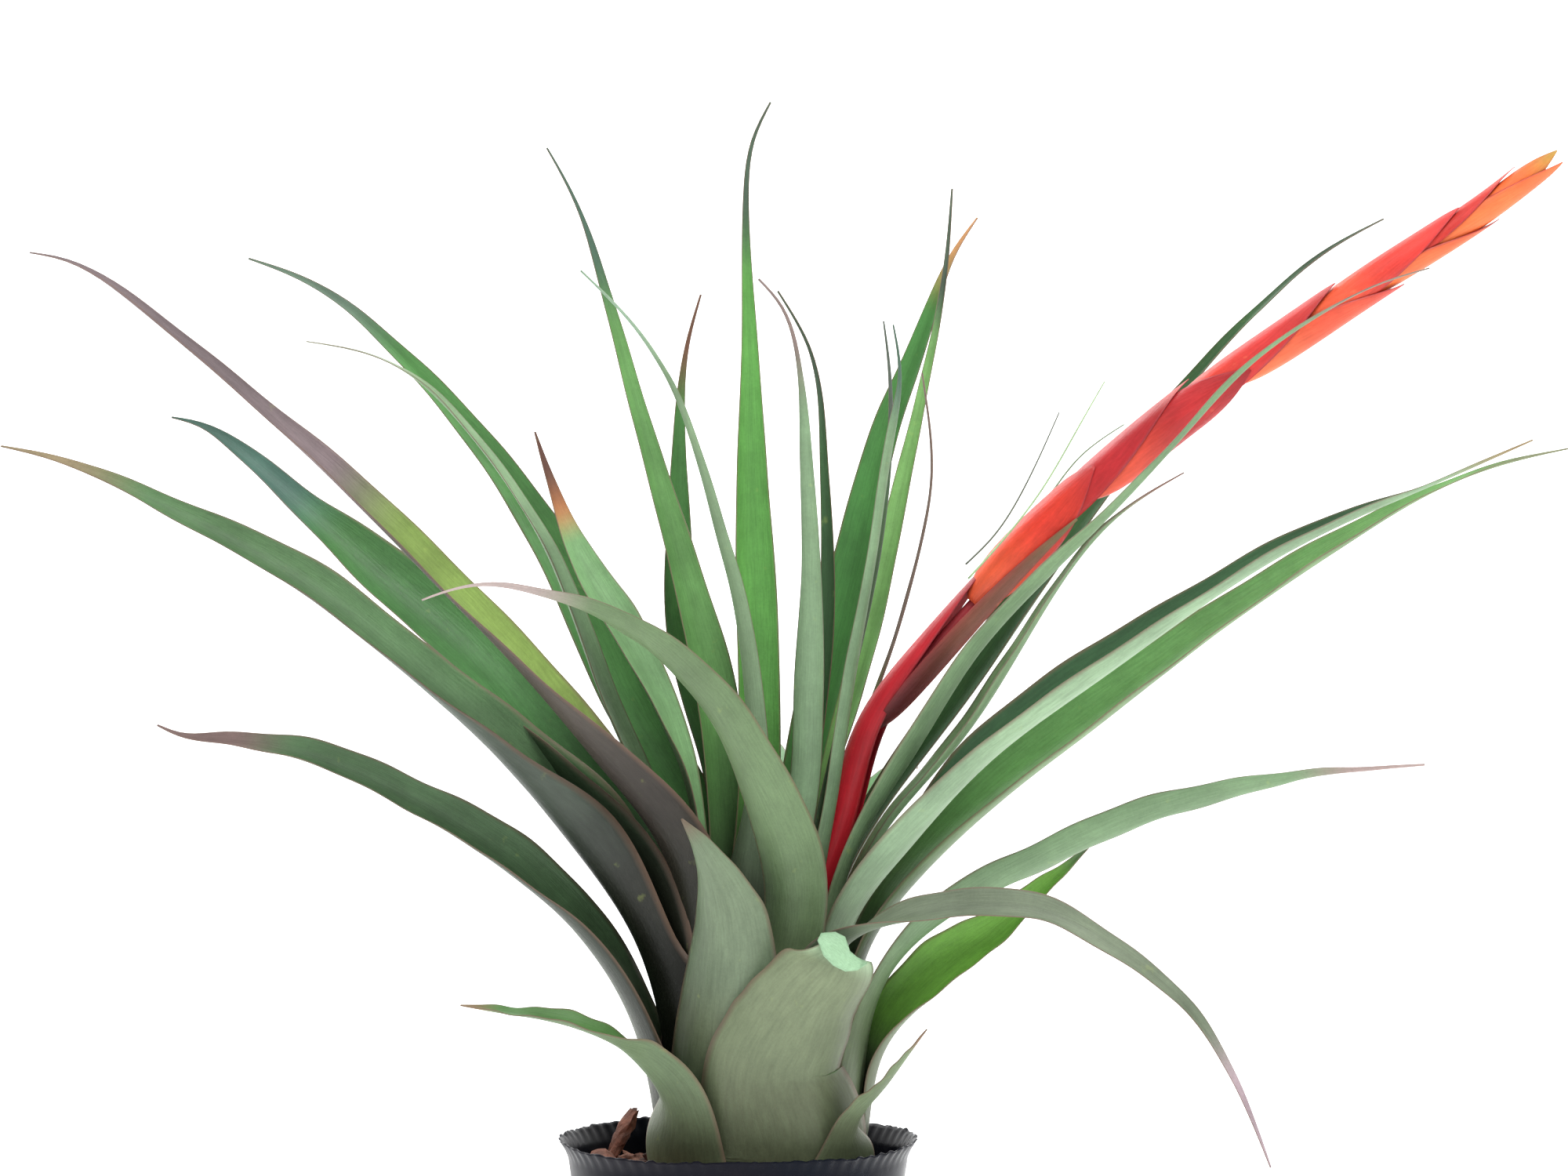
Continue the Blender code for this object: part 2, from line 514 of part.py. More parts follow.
def bract_grid(entry, frame, along, across):
    """Grid for a bract that hugs the spike, swells from the stem and ends in a point."""
    name, low, high, outer, side, wrap = entry
    places, line, upper, front = frame
    high = min(high, places[-1])
    base_radius = STEM_RADIUS + 0.75
    grid = np.zeros((along + 1, across + 1, 3))
    for i in range(along + 1):
        share = i / along
        place = low + (high - low) * share
        swell = 1.0 - math.exp(-(place - low) / BRACT_SWELL)
        radius = base_radius + (outer - base_radius) * swell
        half = math.radians(wrap) * (1.0 - share ** 2.4) + 0.05
        here = np.array([np.interp(place, places, line[:, k]) for k in range(3)])
        up_way = np.array([np.interp(place, places, upper[:, k]) for k in range(3)])
        front_way = np.array([np.interp(place, places, front[:, k]) for k in range(3)])
        for j in range(across + 1):
            angle = math.radians(side) + half * (2.0 * j / across - 1.0)
            grid[i, j] = here + radius * (up_way * math.cos(angle) + front_way * math.sin(angle))
    return grid


def build_spike(home):
    frame = spike_frame()
    places, line, upper, front = frame
    sides = 8
    shape = bmesh.new()
    rings = []
    stops = np.linspace(0.0, places[-1] - 12.0, 19)
    for stop in stops:
        here = np.array([np.interp(stop, places, line[:, k]) for k in range(3)])
        up_way = np.array([np.interp(stop, places, upper[:, k]) for k in range(3)])
        front_way = np.array([np.interp(stop, places, front[:, k]) for k in range(3)])
        radius = STEM_RADIUS * (1.0 - 0.45 * stop / stops[-1])
        ring = []
        for i in range(sides):
            angle = 2 * math.pi * i / sides
            spot = here + radius * (up_way * math.cos(angle) + front_way * math.sin(angle))
            ring.append(shape.verts.new(spot * MM))
        rings.append(ring)
    for low, high in zip(rings, rings[1:]):
        for i in range(sides):
            j = (i + 1) % sides
            shape.faces.new((low[i], low[j], high[j], high[i]))
    shape.faces.new(rings[0])
    shape.faces.new(rings[-1])
    bmesh.ops.recalc_face_normals(shape, faces=shape.faces)
    mesh = bpy.data.meshes.new("spike_stem")
    shape.to_mesh(mesh)
    shape.free()
    make_object("spike_stem", mesh, "stem", home)
    for entry in BRACTS:
        strip_object(entry[0], bract_grid(entry, frame, 8, 6), BRACT_THICKNESS, "bract", home)
    for name, points in SPIKE_THREADS:
        rows = []
        for x, z, y, half_width in points:
            rows.append((in_space(x, z, y), half_width, math.radians(40), 0.0))
        strip_object(name, sheet(rows, (0.0, -1.0, 0.0), 7, 2), LEAF_THICKNESS, "leaf", home)


def main():
    for old in list(bpy.data.objects):
        bpy.data.objects.remove(old, do_unlink=True)
    home = new_collection("potted_bromeliad")
    tools = new_collection("cutters")
    build_pot(home, tools)
    build_bed(home, tools)
    for entry in CHIPS:
        chip_object(entry, home)
    build_leaves(home)
    build_spike(home)


main()
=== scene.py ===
"""Looks of the potted bromeliad: fine leaf, bract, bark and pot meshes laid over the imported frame.

Sizes are in millimetres and are turned to metres when a mesh is made. They repeat those of the
CAD part, except that hidden sheaths are drawn wider, the torn front leaf is cut and leaned, and
the two scape bracts have their own length and wrap. The flower spike leans to +X and the front
of the plant faces -Y.
"""
import json
import math
import random

import bpy
import numpy as np
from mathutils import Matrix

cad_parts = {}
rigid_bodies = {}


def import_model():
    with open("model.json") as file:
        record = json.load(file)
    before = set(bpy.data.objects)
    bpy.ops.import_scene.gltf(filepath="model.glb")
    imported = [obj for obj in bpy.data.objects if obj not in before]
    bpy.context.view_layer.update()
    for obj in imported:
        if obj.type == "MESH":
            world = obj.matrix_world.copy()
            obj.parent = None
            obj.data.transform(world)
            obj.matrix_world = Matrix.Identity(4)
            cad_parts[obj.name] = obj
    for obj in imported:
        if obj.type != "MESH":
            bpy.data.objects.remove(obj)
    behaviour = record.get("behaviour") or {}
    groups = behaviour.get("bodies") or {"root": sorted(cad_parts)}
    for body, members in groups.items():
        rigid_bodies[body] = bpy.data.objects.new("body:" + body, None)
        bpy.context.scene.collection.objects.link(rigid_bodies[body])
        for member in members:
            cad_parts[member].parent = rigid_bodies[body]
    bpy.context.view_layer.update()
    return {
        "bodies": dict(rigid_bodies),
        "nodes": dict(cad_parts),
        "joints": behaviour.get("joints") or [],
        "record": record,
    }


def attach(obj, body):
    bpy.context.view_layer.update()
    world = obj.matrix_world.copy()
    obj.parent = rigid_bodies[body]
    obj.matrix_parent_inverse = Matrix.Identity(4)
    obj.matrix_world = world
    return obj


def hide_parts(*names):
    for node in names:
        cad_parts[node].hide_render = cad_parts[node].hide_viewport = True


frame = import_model()

MM = 0.001
BODY = "root"

# ---- camera: level, in front of the plant ----
CAMERA_PLACE = (0.0196, -1.65, 0.353)
LENS = 91.1
SENSOR = 36.0

# ---- pot, in millimetres ----
POT_HEIGHT = 125.0
RIM_RADIUS = 75.0
NECK_RADIUS = 70.5
FOOT_RADIUS = 53.0
WALL = 1.0
FLOOR = 1.6
LIP_HEIGHT = 9.0
RIDGE_DROP = 24.0
DRAIN_HOLES = 6
DRAIN_RADIUS = 4.0
DRAIN_CIRCLE = 39.3
DRAIN_TURN = 0.47

# ---- planting, in millimetres ----
PLANT_X = 10.0
BARK_TOP = 108.0
WELL_RADIUS = 46.8
SHEATH_FOOT_SUM = 144.0
TIP_HALF_WIDTH = 0.35
EYE_X = 19.6
EYE_Z = 353.0
EYE_DISTANCE = 1650.0
STEM_RADIUS = 2.7
BRACT_SWELL = 10.0

# ---- meshes and light ----
LEAF_THICKNESS = 0.62
BRACT_THICKNESS = 0.36
WORLD_LIGHT = 0.62
FLOOR_GLOW = 0.5
BACKDROP_GLOW = 1.0
LEFT_SHEATH_TOP = 305.0
SHEATH_REACH = 150.0
SHEATH_FADE = 55.0

# Area lamps: name, place in metres, size, power.
LAMPS = (("key", (0.5, -0.9, 2.0), 0.9, 34.0), ("back", (-0.9, 1.0, 1.7), 1.0, 22.0))
LAMP_AIM = (0.0, 0.0, 0.3)

# Each leaf: name, sheath radius, azimuth, sheath height, sheath half wrap, blade half arc, and
# front-view points (x, z, depth y, half width, roll, own half arc if it differs).
LEAVES = [
    ("low_right", 44, -40, 12, 36, 40,
     [(47, 127, -37, 10, 0), (60, 144, -42, 7, -10), (70, 157, -46, 4.5, -20),
      (79, 169.5, -48, .4, -20)]),
    ("low_left", 44, -140, 14, 41, 50,
     [(-28, 140, -41.5, 18, 0), (-40, 155, -42, 16, 10), (-58, 167, -44, 10, 40),
      (-80, 174, -44, 6, 50), (-100, 177, -42, 3.5, 50), (-115, 179.5, -42, .4, 50)]),
    ("front_torn", 42.6, -72, 22, 58, 50,
     [(15, 150, -51, 34, 8), (20.5, 166, -54, 33, 6), (28, 181, -58, 30, 0), (37, 193, -62, 25, 0),
      (40, 203, -64, 12, 0)]),
    ("right_low", 41, 5, 24, 26, 60,
     [(60, 160, 0, 16, -10), (84, 192, 0, 15, -40), (108, 211, 2, 10, -50), (132, 232, 4, 4, -50),
      (147, 246, 4, .4, -50)]),
    ("left_mid", 41, 180, 34, 54, 60,
     [(-43, 171, -2, 26, 0, 45), (-66, 210, -4, 19, 10), (-98, 241, -6, 14, 35),
      (-138, 266, -6, 10, 45), (-180, 284, -6, 7, 50), (-215, 290, -4, 3.5, 50),
      (-232, 292, -4, 1.2, 50), (-241, 296, -4, .4, 50)]),
    ("front_short", 39.6, -115, 45, 36, 55,
     [(-6, 190, -46, 23, 0, 45), (-6, 215, -52, 19, 0), (-13, 240, -56, 8, 0),
      (-23, 257, -58, .4, 0)]),
    ("right_out", 38.2, -15, 42, 32, 50,
     [(62, 190, -10, 10, 0), (86, 216, -16, 11, 20), (122, 238, -24, 8, 50),
      (165, 257, -30, 7, 60), (205, 269, -34, 5, 60), (245, 276, -36, 1.6, 60),
      (286, 279.5, -36, .4, 60)]),
    ("front_arch", 36.8, -52, 46, 32, 45,
     [(36, 196, -40, 12, 0), (62, 213, -56, 12, -30), (92, 220, -72, 8.4, -60),
      (124, 219.5, -80, 6.2, -80), (155, 205, -86, 4.5, -80), (183, 183, -88, 3.2, -70),
      (206, 150, -90, 2, -60), (222, 112, -90, .4, -60)]),
    ("right_wide", 35.4, 6, 48, 50, 65,
     [(52, 195, 6, 18, 0, 45), (78, 236, 10, 19, -10, 55), (108, 266, 14, 18, -25),
      (150, 299, 16, 16, -30), (200, 337, 18, 12, -30), (250, 370, 20, 8, -25),
      (300, 398, 20, 2.6, -20), (328, 407, 20, 1.2, -20), (346, 411, 20, .4, -20)]),
    ("left_long", 35.4, 178, 48, 56, 60,
     [(-42, 206, 0, 16, 0, 45), (-68, 246, -2, 19, 5), (-100, 285, -4, 18, 15),
      (-140, 323, -6, 14, 30), (-180, 355, -8, 11, 45), (-220, 378, -8, 7.5, 50),
      (-255, 395, -8, 4, 50), (-285, 407, -8, 1.6, 50), (-306, 412, -8, .4, 50)]),
    ("front_curl", 34, -95, 50, 50, 50,
     [(22, 206, -37, 14, 0, 45), (22, 238, -47, 15, 0), (12, 265, -58, 14, 10),
      (-2, 292, -66, 12, 20), (-22, 318, -72, 9.5, 20), (-48, 338, -78, 6.5, 20),
      (-80, 350, -82, 2.5, 20), (-110, 354, -84, .9, 20), (-131, 348, -84, .4, 20)]),
    ("right_upper", 32.6, -22, 50, 42, 78,
     [(46, 208, -18, 17, 0, 45), (70, 243, -26, 20, -5, 60), (105, 281, -36, 19, -22),
      (150, 315, -46, 17, -26), (195, 347, -54, 12, -26), (240, 374, -60, 7.5, -26),
      (285, 394, -64, 3.2, -10), (331, 414.5, -66, .5, 0)]),
    ("left_wide", 32.6, 163, 54, 42, 50,
     [(-40, 230, 18, 20, 0, 45), (-72, 274, 28, 20, 10), (-108, 320, 35, 18, 30),
      (-145, 355, 41, 15, 45), (-180, 387, 46, 7.5, 50), (-208, 411, 50, 4, 50),
      (-224, 421, 52, 1.4, 50), (-235, 424, 52, .4, 50)]),
    ("left_dark", 31.2, -160, 54, 31, 60,
     [(-28, 238, -14, 14, 0, 45), (-56, 278, -22, 17, 10, 50), (-88, 317, -30, 15.5, 30),
      (-128, 360, -40, 11.5, 45), (-170, 402, -46, 8, 50), (-210, 438, -50, 5, 50),
      (-250, 471, -54, 2.8, 50), (-280, 489.5, -56, 1, 50), (-294, 492.5, -56, .4, 50)]),
    ("left_thread", 29.8, 153, 58, 19, 50,
     [(-31, 250, 19, 8, 0), (-52, 300, 24, 8, 0), (-79, 369, 38, 5.5, 0), (-110, 416, 50, 3.5, 0),
      (-145, 447, 58, 1.2, 0), (-179, 455.5, 64, .4, 0)]),
    ("left_back", 28.4, 110, 60, 36, 50,
     [(-11, 245, 41, 11, 0, 45), (-42, 300, 49, 13, 10), (-68, 356, 58, 11, 30),
      (-97, 403, 72, 7.5, 40), (-135, 446, 84, 4.2, 40), (-175, 479, 94, 1.6, 40),
      (-203, 490, 98, .4, 40)]),
    ("left_inner", 27, 170, 60, 34, 50,
     [(-18, 255, 3, 9, 0), (-31, 300, 10, 11, 20), (-50, 338, 16, 11, 40), (-66, 367, 22, 7, 50),
      (-76, 392, 24, 3, 50), (-84, 418, 26, .4, 50)]),
    ("right_slim", 27, 8, 62, 27, 60,
     [(58, 246, 5, 7, 0), (92, 288, 8, 9, 0), (128, 344, 8, 6, 0), (160, 384, 8, 2, 0),
      (186, 401, 8, .4, 0)]),
    ("right_spear", 25.6, -14, 62, 27, 65,
     [(48, 240, -17, 8, 0), (74, 284, -19, 12, 0), (100, 325, -23, 11, 0), (126, 354, -27, 9, 0),
      (158, 386, -30, 6, 0), (190, 421, -32, 3.6, 0), (215, 447, -34, 2.4, 0),
      (240, 465, -36, 1.6, 0), (265, 478.5, -38, .8, 0), (288, 486, -38, .4, 0)]),
    ("right_back", 24.2, 44, 64, 21, 60,
     [(49, 244, 28, 8, 0), (92, 306, 24, 11, 0), (140, 375, 30, 9, 0), (187, 436, 36, 4, 0),
      (220, 472, 40, 2.4, 0), (250, 496, 42, 1.1, 0), (269, 506.5, 42, .4, 0)]),
    ("left_green", 24.2, 112, 64, 36, 50,
     [(-5, 270, 37, 12, 0), (-23, 335, 45, 9.5, 0), (-25, 380, 46, 6.2, 0), (-24.3, 420, 48, 3, 0),
      (-20.5, 455, 50, 1, 0), (-15, 475, 50, .4, 0)]),
    ("left_tall", 22.8, 116, 66, 32, 50,
     [(-5, 260, 25, 11, 0), (-10, 308, 27, 11, 0), (-22.5, 360, 31, 8, 0), (-37, 411, 35, 5.2, 0),
      (-48.2, 452, 38, 3.6, 0), (-59, 490, 41, 2, 0), (-66, 511, 43, 1, 0), (-79, 536, 45, .4, 0)]),
    ("left_sliver", 22.8, -118, 66, 40, 50,
     [(8, 275, -22, 6, 0), (6, 310, -26, 5, 0), (1, 345, -28, 4, 0), (-8, 380, -31, 3, 0),
      (-17.5, 412, -35, 2, 0), (-36, 453, -38, 1, 0), (-65, 485, -40, .4, 0)]),
    ("right_inner", 21.4, 58, 66, 32, 50,
     [(29, 270, 32, 12, 0), (39, 320, 40, 12, 0), (51, 370, 43, 10.5, 0), (64, 420, 46, 8, 0),
      (79, 462, 50, 4.5, 0), (91, 493, 54, 1.5, 0), (100, 507, 56, .4, 0)]),
    ("right_bright", 20, 42, 66, 30, 50,
     [(35, 260, 18, 5, 0), (50, 310, 21, 8, 0), (61, 358, 26, 6, -20), (71, 405, 31, 3.8, -30),
      (78.5, 440, 35, 2.4, -30), (86, 479, 40, 1.3, -30), (89.5, 519, 44, .4, -30)]),
    ("centre_pale", 20, -88, 68, 26, 50,
     [(27, 262, -18, 7, 0), (30, 310, -20, 7, 0), (31, 360, -25, 4.5, 0), (28.7, 410, -28, 2.8, 0),
      (25.5, 448, -30, 1, 0), (18, 471, -32, .6, 0), (9, 481.5, -32, .4, 0)]),
    ("centre_tall", 18.6, 98, 68, 40, 50,
     [(9, 280, 21, 10, 0), (8, 340, 23, 10, 0), (6, 400, 26, 7.5, 0), (5, 460, 29, 3.6, 0),
      (3.7, 515, 32, 1.4, 0), (7, 540, 34, .8, 0), (14, 555, 34, .4, 0)]),
    ("right_pale", 18.6, -36, 70, 24, 50,
     [(40, 262, -14, 5, 0), (48, 315, -19, 5, 0), (57, 365, -25, 3.6, 0), (64.5, 415, -30, 3.4, 0),
      (68, 442, -32, 1.2, 0), (65, 462.5, -32, .4, 0)]),
    ("centre_dark", 17.2, 68, 70, 26, 50,
     [(29, 275, 14, 6, 0), (38, 345, 12, 4, 0), (36.3, 410, 13, 2, 0), (30, 453, 14, .8, 0),
      (17, 476.5, 14, .4, 0)]),
    ("right_dark", 17.2, -34, 72, 18, 50,
     [(42, 290, -9, 2.5, 0), (56, 350, -14, 2.6, 0), (64, 410, -18, 2, 0), (63.5, 445, -20, 1, 0),
      (61, 464, -20, .4, 0)]),
    ("right_dry", 15.8, 18, 72, 16, 50,
     [(44, 272, 11, 2, 0), (62, 320, 14, 2.2, 0), (76, 368, 14, 1.4, 0), (81.2, 400, 14, 1.2, 0),
      (79, 430, 14, .8, 0), (77, 442.5, 14, .4, 0)]),
    ("back_low", 42.6, 90, 30, 46, 50,
     [(9, 190, 60, 11, 0), (6, 228, 95, 17, 0), (4, 250, 140, 13, 0), (2, 250, 190, 7, 0),
      (0, 240, 225, .4, 0)]),
    ("back_right", 39.6, 70, 36, 38, 50,
     [(35, 200, 52, 17, 0), (52, 235, 85, 15, 0), (60, 250, 125, 11, 0), (64, 252, 165, 6, 0),
      (66, 246, 195, .4, 0)]),
    ("back_left", 38.2, 140, 38, 34, 50,
     [(-22, 200, 53, 18, 0), (-38, 236, 93, 16, 0), (-42, 252, 140, 12, 0), (-48, 256, 185, 6, 0),
      (-50, 252, 215, .4, 0)]),
    ("back_mid", 34, 84, 46, 36, 50,
     [(14, 235, 50, 12, 0), (13, 262, 85, 14, 0), (13, 280, 125, 10, 0), (12, 286, 165, 5, 0),
      (11, 284, 190, .4, 0)]),
    ("back_slim", 31.2, 48, 50, 26, 50,
     [(46, 238, 38, 10, 0), (58, 264, 72, 12, 0), (67, 277, 108, 8, 0), (72, 280, 142, 4, 0),
      (75, 278, 165, .4, 0)]),
]

# Middle line of the flower spike: x, z, depth y.
SPIKE_LINE = [(12, 138, 0), (17, 170, 0), (28, 215, 0), (44, 256, 0), (57, 295, 0), (79, 325, 0),
              (112, 361, 0), (150, 396, 0), (190, 429, 0), (230, 457, 0), (270, 484, 0),
              (310, 510, 0), (341, 534, 0)]

# Each bract: name, where its base and tip lie along the spike, outer radius, side, half wrap.
# Side 0 is the upper side of the leaning spike, 90 the front, 180 the lower side.
BRACTS = [
    ("scape_bract_low", 45, 268, 7.4, -12, 150),
    ("scape_bract_front", 165, 285, 11.4, 114, 24),
    ("bract_1", 230, 305, 10.6, 50, 120),
    ("bract_2", 268, 358, 10.0, 5, 115),
    ("bract_3", 296, 380, 9.4, 100, 115),
    ("bract_4", 340, 430, 8.8, 20, 115),
    ("bract_5", 372, 454, 8.2, 165, 110),
    ("bract_6", 404, 490, 7.6, 30, 115),
    ("bract_7", 432, 502, 7.0, 185, 110),
    ("bract_8", 444, 520, 6.4, 0, 110),
    ("bract_9", 456, 536, 5.8, 140, 110),
    ("bract_10", 470, 544, 5.0, 80, 120),
]

# Thin leafy tips that leave the lower part of the spike: points (x, z, depth y, half width).
SPIKE_THREADS = [
    ("spike_thread_1", [(95, 363, 3, 1.5), (106, 374, 4, 1.3), (119, 394, 6, 0.9), (134, 426, 8, 0.4)]),
    ("spike_thread_2", [(96, 357, -12, 1.5), (126, 393, -14, 1.2), (142, 420, -16, 0.9),
                        (153, 439, -17, 0.4)]),
    ("spike_thread_3", [(110, 371, 12, 1.4), (127, 388, 14, 1.2), (142, 407, 15, 0.9),
                        (161, 421, 16, 0.4)]),
]

# Loose bark pieces by the left sheaths: x, y, z, length, width, thickness, turn, tilt.
CHIPS = [
    ("bark_chip_1", -49, 24, 122, 26, 11, 5, 30, 60),
    ("bark_chip_2", -56, 6, 114, 24, 12, 5, 100, 12),
    ("bark_chip_3", -47, -30, 114, 22, 10, 5, 140, 14),
]

# ---- leaf colours, as display values from 0 to 255: inner face, outer face, tip, tip start ----
PLAIN = ((96, 152, 90), (150, 182, 148), (128, 112, 102), 0.93)
LOOKS = {
    "low_right": ((120, 150, 95), (158, 176, 142), (120, 95, 70), 0.9),
    "low_left": ((105, 150, 90), (150, 172, 138), (130, 110, 80), 0.93),
    "front_torn": ((98, 140, 82), (150, 160, 134), (160, 185, 150), 0.97),
    "right_low": ((128, 184, 82), (150, 164, 138), (95, 120, 85), 0.94),
    "left_mid": ((92, 122, 90), (138, 154, 138), (120, 100, 96), 0.86),
    "front_short": ((110, 150, 95), (148, 164, 142), (110, 95, 80), 0.96),
    "right_out": ((120, 145, 95), (150, 180, 146), (165, 145, 140), 0.88),
    "front_arch": ((132, 142, 126), (138, 150, 134), (160, 142, 148), 0.86),
    "right_wide": ((116, 168, 102), (156, 186, 142), (120, 135, 100), 0.93),
    # left_long's outer face: its own grey, darkened with painted shade.
    "left_long": ((106, 142, 102), (108, 118, 112), (150, 135, 105), 0.9),
    "front_curl": ((166, 194, 160), (134, 158, 122), (172, 156, 152), 0.84),
    "right_upper": ((66, 104, 72), (176, 204, 176), (150, 130, 95), 0.95),
    "left_wide": ((88, 138, 84), (130, 155, 130), (72, 104, 92), 0.82),
    # left_dark's outer face: its own purple-brown, darkened with painted shade.
    "left_dark": ((150, 176, 96), (104, 92, 90), (118, 104, 106), 0.66),
    "left_thread": ((150, 180, 145), (160, 188, 155), (150, 160, 140), 0.9),
    "left_back": ((92, 148, 84), (134, 160, 134), (96, 118, 100), 0.86),
    "left_inner": ((140, 182, 134), (140, 165, 140), (96, 66, 56), 0.91),
    "right_slim": ((140, 170, 130), (170, 198, 164), (150, 120, 110), 0.93),
    "right_spear": ((104, 148, 96), (160, 192, 154), (140, 128, 115), 0.9),
    "right_back": ((66, 108, 66), (96, 130, 90), (70, 90, 70), 0.9),
    "left_green": ((84, 136, 78), (120, 150, 118), (110, 78, 62), 0.9),
    "left_tall": ((112, 160, 98), (140, 170, 136), (70, 96, 80), 0.85),
    "left_sliver": ((150, 180, 145), (160, 186, 156), (140, 165, 140), 0.9),
    "right_inner": ((84, 144, 78), (120, 155, 118), (176, 128, 84), 0.93),
    "right_bright": ((138, 188, 116), (120, 160, 110), (70, 85, 70), 0.86),
    "centre_pale": ((130, 165, 125), (166, 196, 164), (120, 105, 100), 0.88),
    "centre_tall": ((108, 172, 90), (130, 165, 125), (70, 88, 72), 0.86),
    "right_pale": ((130, 165, 125), (160, 190, 158), (70, 95, 80), 0.9),
    "centre_dark": ((66, 100, 66), (110, 140, 105), (66, 84, 66), 0.85),
    "right_dark": ((72, 104, 74), (84, 112, 84), (80, 90, 80), 0.85),
    "right_dry": ((128, 132, 92), (138, 124, 106), (120, 104, 96), 0.6),
}

# Leaves whose whole sheath shows from the front, so that it keeps its exact outline. They get a milder
# painted shade towards the bottom than the other leaves.
FRONT_LEAVES = ("front_torn", "front_short", "low_left", "low_right", "front_curl", "right_out",
                "front_arch", "left_mid", "right_low")

# Ragged top of the torn front leaf and of the flap that curls off it: front-view points (x, z).
TEAR_LINE = ((-60, 240), (20, 240), (23, 205), (30, 207.5), (36, 209.5), (44, 209.0), (47, 201),
             (52, 198.5), (58, 197), (61, 190), (64, 184), (68, 200))
FLAP_TOP = ((35, 209.5), (41, 210), (45, 208), (47, 202), (50, 199.5), (54, 197.5))
FLAP_FOOT = ((33.5, 206.5), (36, 200), (40, 196), (45, 193.5), (50, 194), (54, 196.5))

# ---- spike colours, as display values: base, middle, tip ----
BRACT_LOOKS = {
    "scape_bract_low": ((206, 36, 62), (190, 40, 60), (120, 52, 62)),
    "scape_bract_front": ((96, 44, 52), (140, 108, 100), (128, 140, 104)),
    "bract_1": ((244, 118, 84), (232, 76, 62), (190, 60, 66)),
    "bract_2": ((210, 60, 64), (176, 44, 56), (196, 78, 72)),
    "bract_3": ((236, 106, 82), (188, 54, 62), (156, 40, 52)),
    "bract_4": ((228, 84, 70), (204, 62, 64), (192, 66, 66)),
    "bract_5": ((246, 138, 92), (240, 112, 84), (222, 84, 80)),
    "bract_6": ((246, 122, 84), (228, 78, 72), (222, 66, 70)),
    "bract_7": ((250, 150, 92), (248, 138, 84), (234, 112, 74)),
    "bract_8": ((226, 84, 66), (206, 66, 60), (214, 88, 68)),
    "bract_9": ((248, 140, 84), (246, 142, 86), (238, 138, 84)),
    "bract_10": ((244, 128, 78), (232, 128, 72), (188, 176, 90)),
}


def linear(color):
    """Display values 0 to 255 to linear light."""
    value = np.array(color, float) / 255.0
    return np.where(value <= 0.04045, value / 12.92, ((value + 0.055) / 1.055) ** 2.4)


def ramp(low, high, value):
    """0 below low, 1 above high, smooth between."""
    share = np.clip((np.asarray(value, float) - low) / (high - low), 0.0, 1.0)
    return share * share * (3.0 - 2.0 * share)


def in_space(x, z, y):
    """Slides a front-view point along its line of sight to depth y."""
    stretch = 1.0 + y / EYE_DISTANCE
    return (EYE_X + (x - EYE_X) * stretch, y, EYE_Z + (z - EYE_Z) * stretch)


def smooth_line(points, stations, wanted):
    """Natural cubic spline through points, read at the wanted stations."""
    points = np.array(points, float)
    stations = np.array(stations, float)
    count = len(stations)
    step = np.diff(stations)
    matrix = np.eye(count)
    right = np.zeros((count, points.shape[1]))
    for i in range(1, count - 1):
        matrix[i, i - 1] = step[i - 1]
        matrix[i, i] = 2 * (step[i - 1] + step[i])
        matrix[i, i + 1] = step[i]
        rise = (points[i + 1] - points[i]) / step[i]
        fall = (points[i] - points[i - 1]) / step[i - 1]
        right[i] = 6 * (rise - fall)
    bend = np.linalg.solve(matrix, right)
    low = np.clip(np.searchsorted(stations, wanted, side="right") - 1, 0, count - 2)
    ahead = (stations[low + 1] - wanted)[:, None]
    behind = (wanted - stations[low])[:, None]
    width = step[low][:, None]
    curve = (bend[low] * ahead ** 3 + bend[low + 1] * behind ** 3) / (6 * width)
    curve += (points[low] / width - bend[low] * width / 6) * ahead
    curve += (points[low + 1] / width - bend[low + 1] * width / 6) * behind
    return curve


def steady(values, stations, wanted):
    """Smooth curve through values that never overshoots between them."""
    values = np.array(values, float)
    stations = np.array(stations, float)
    step = np.diff(stations)
    slope = np.diff(values) / step
    lean = np.zeros(len(values))
    for i in range(1, len(values) - 1):
        if slope[i - 1] * slope[i] > 0:
            first = 2 * step[i] + step[i - 1]
            second = step[i] + 2 * step[i - 1]
            lean[i] = (first + second) / (first / slope[i - 1] + second / slope[i])
    lean[0] = slope[0]
    lean[-1] = slope[-1]
    low = np.clip(np.searchsorted(stations, wanted, side="right") - 1, 0, len(values) - 2)
    part = (wanted - stations[low]) / step[low]
    result = (1 + 2 * part) * (1 - part) ** 2 * values[low]
    result += part * (1 - part) ** 2 * step[low] * lean[low]
    result += part * part * (3 - 2 * part) * values[low + 1]
    result += part * part * (part - 1) * step[low] * lean[low + 1]
    return result


def leaf_rows(leaf):
    """Rows of (middle point, half width, half arc, roll) from the leaf's foot to its tip."""
    name, radius, azimuth, height, wrap, arc, points = leaf
    turn = math.radians(azimuth)
    wrap = math.radians(wrap)
    foot = SHEATH_FOOT_SUM - radius
    top_radius = radius + 2.0 + 0.0013 * radius * height
    middle_radius = 0.5 * (radius + top_radius) - 0.3
    rows = []
    for distance, level, share in ((radius, 0.0, 1.0), (middle_radius, 0.5, 0.97),
                                   (top_radius, 1.0, 0.9)):
        middle = (PLANT_X + distance * math.cos(turn), distance * math.sin(turn),
                  foot + level * height)
        rows.append((middle, distance * wrap * share, wrap * share, 0.0))
    for point in points:
        x, z, y, half_width, roll = point[:5]
        own_arc = point[5] if len(point) > 5 else arc
        rows.append((in_space(x, z, y), half_width, math.radians(own_arc), math.radians(roll)))
    return rows


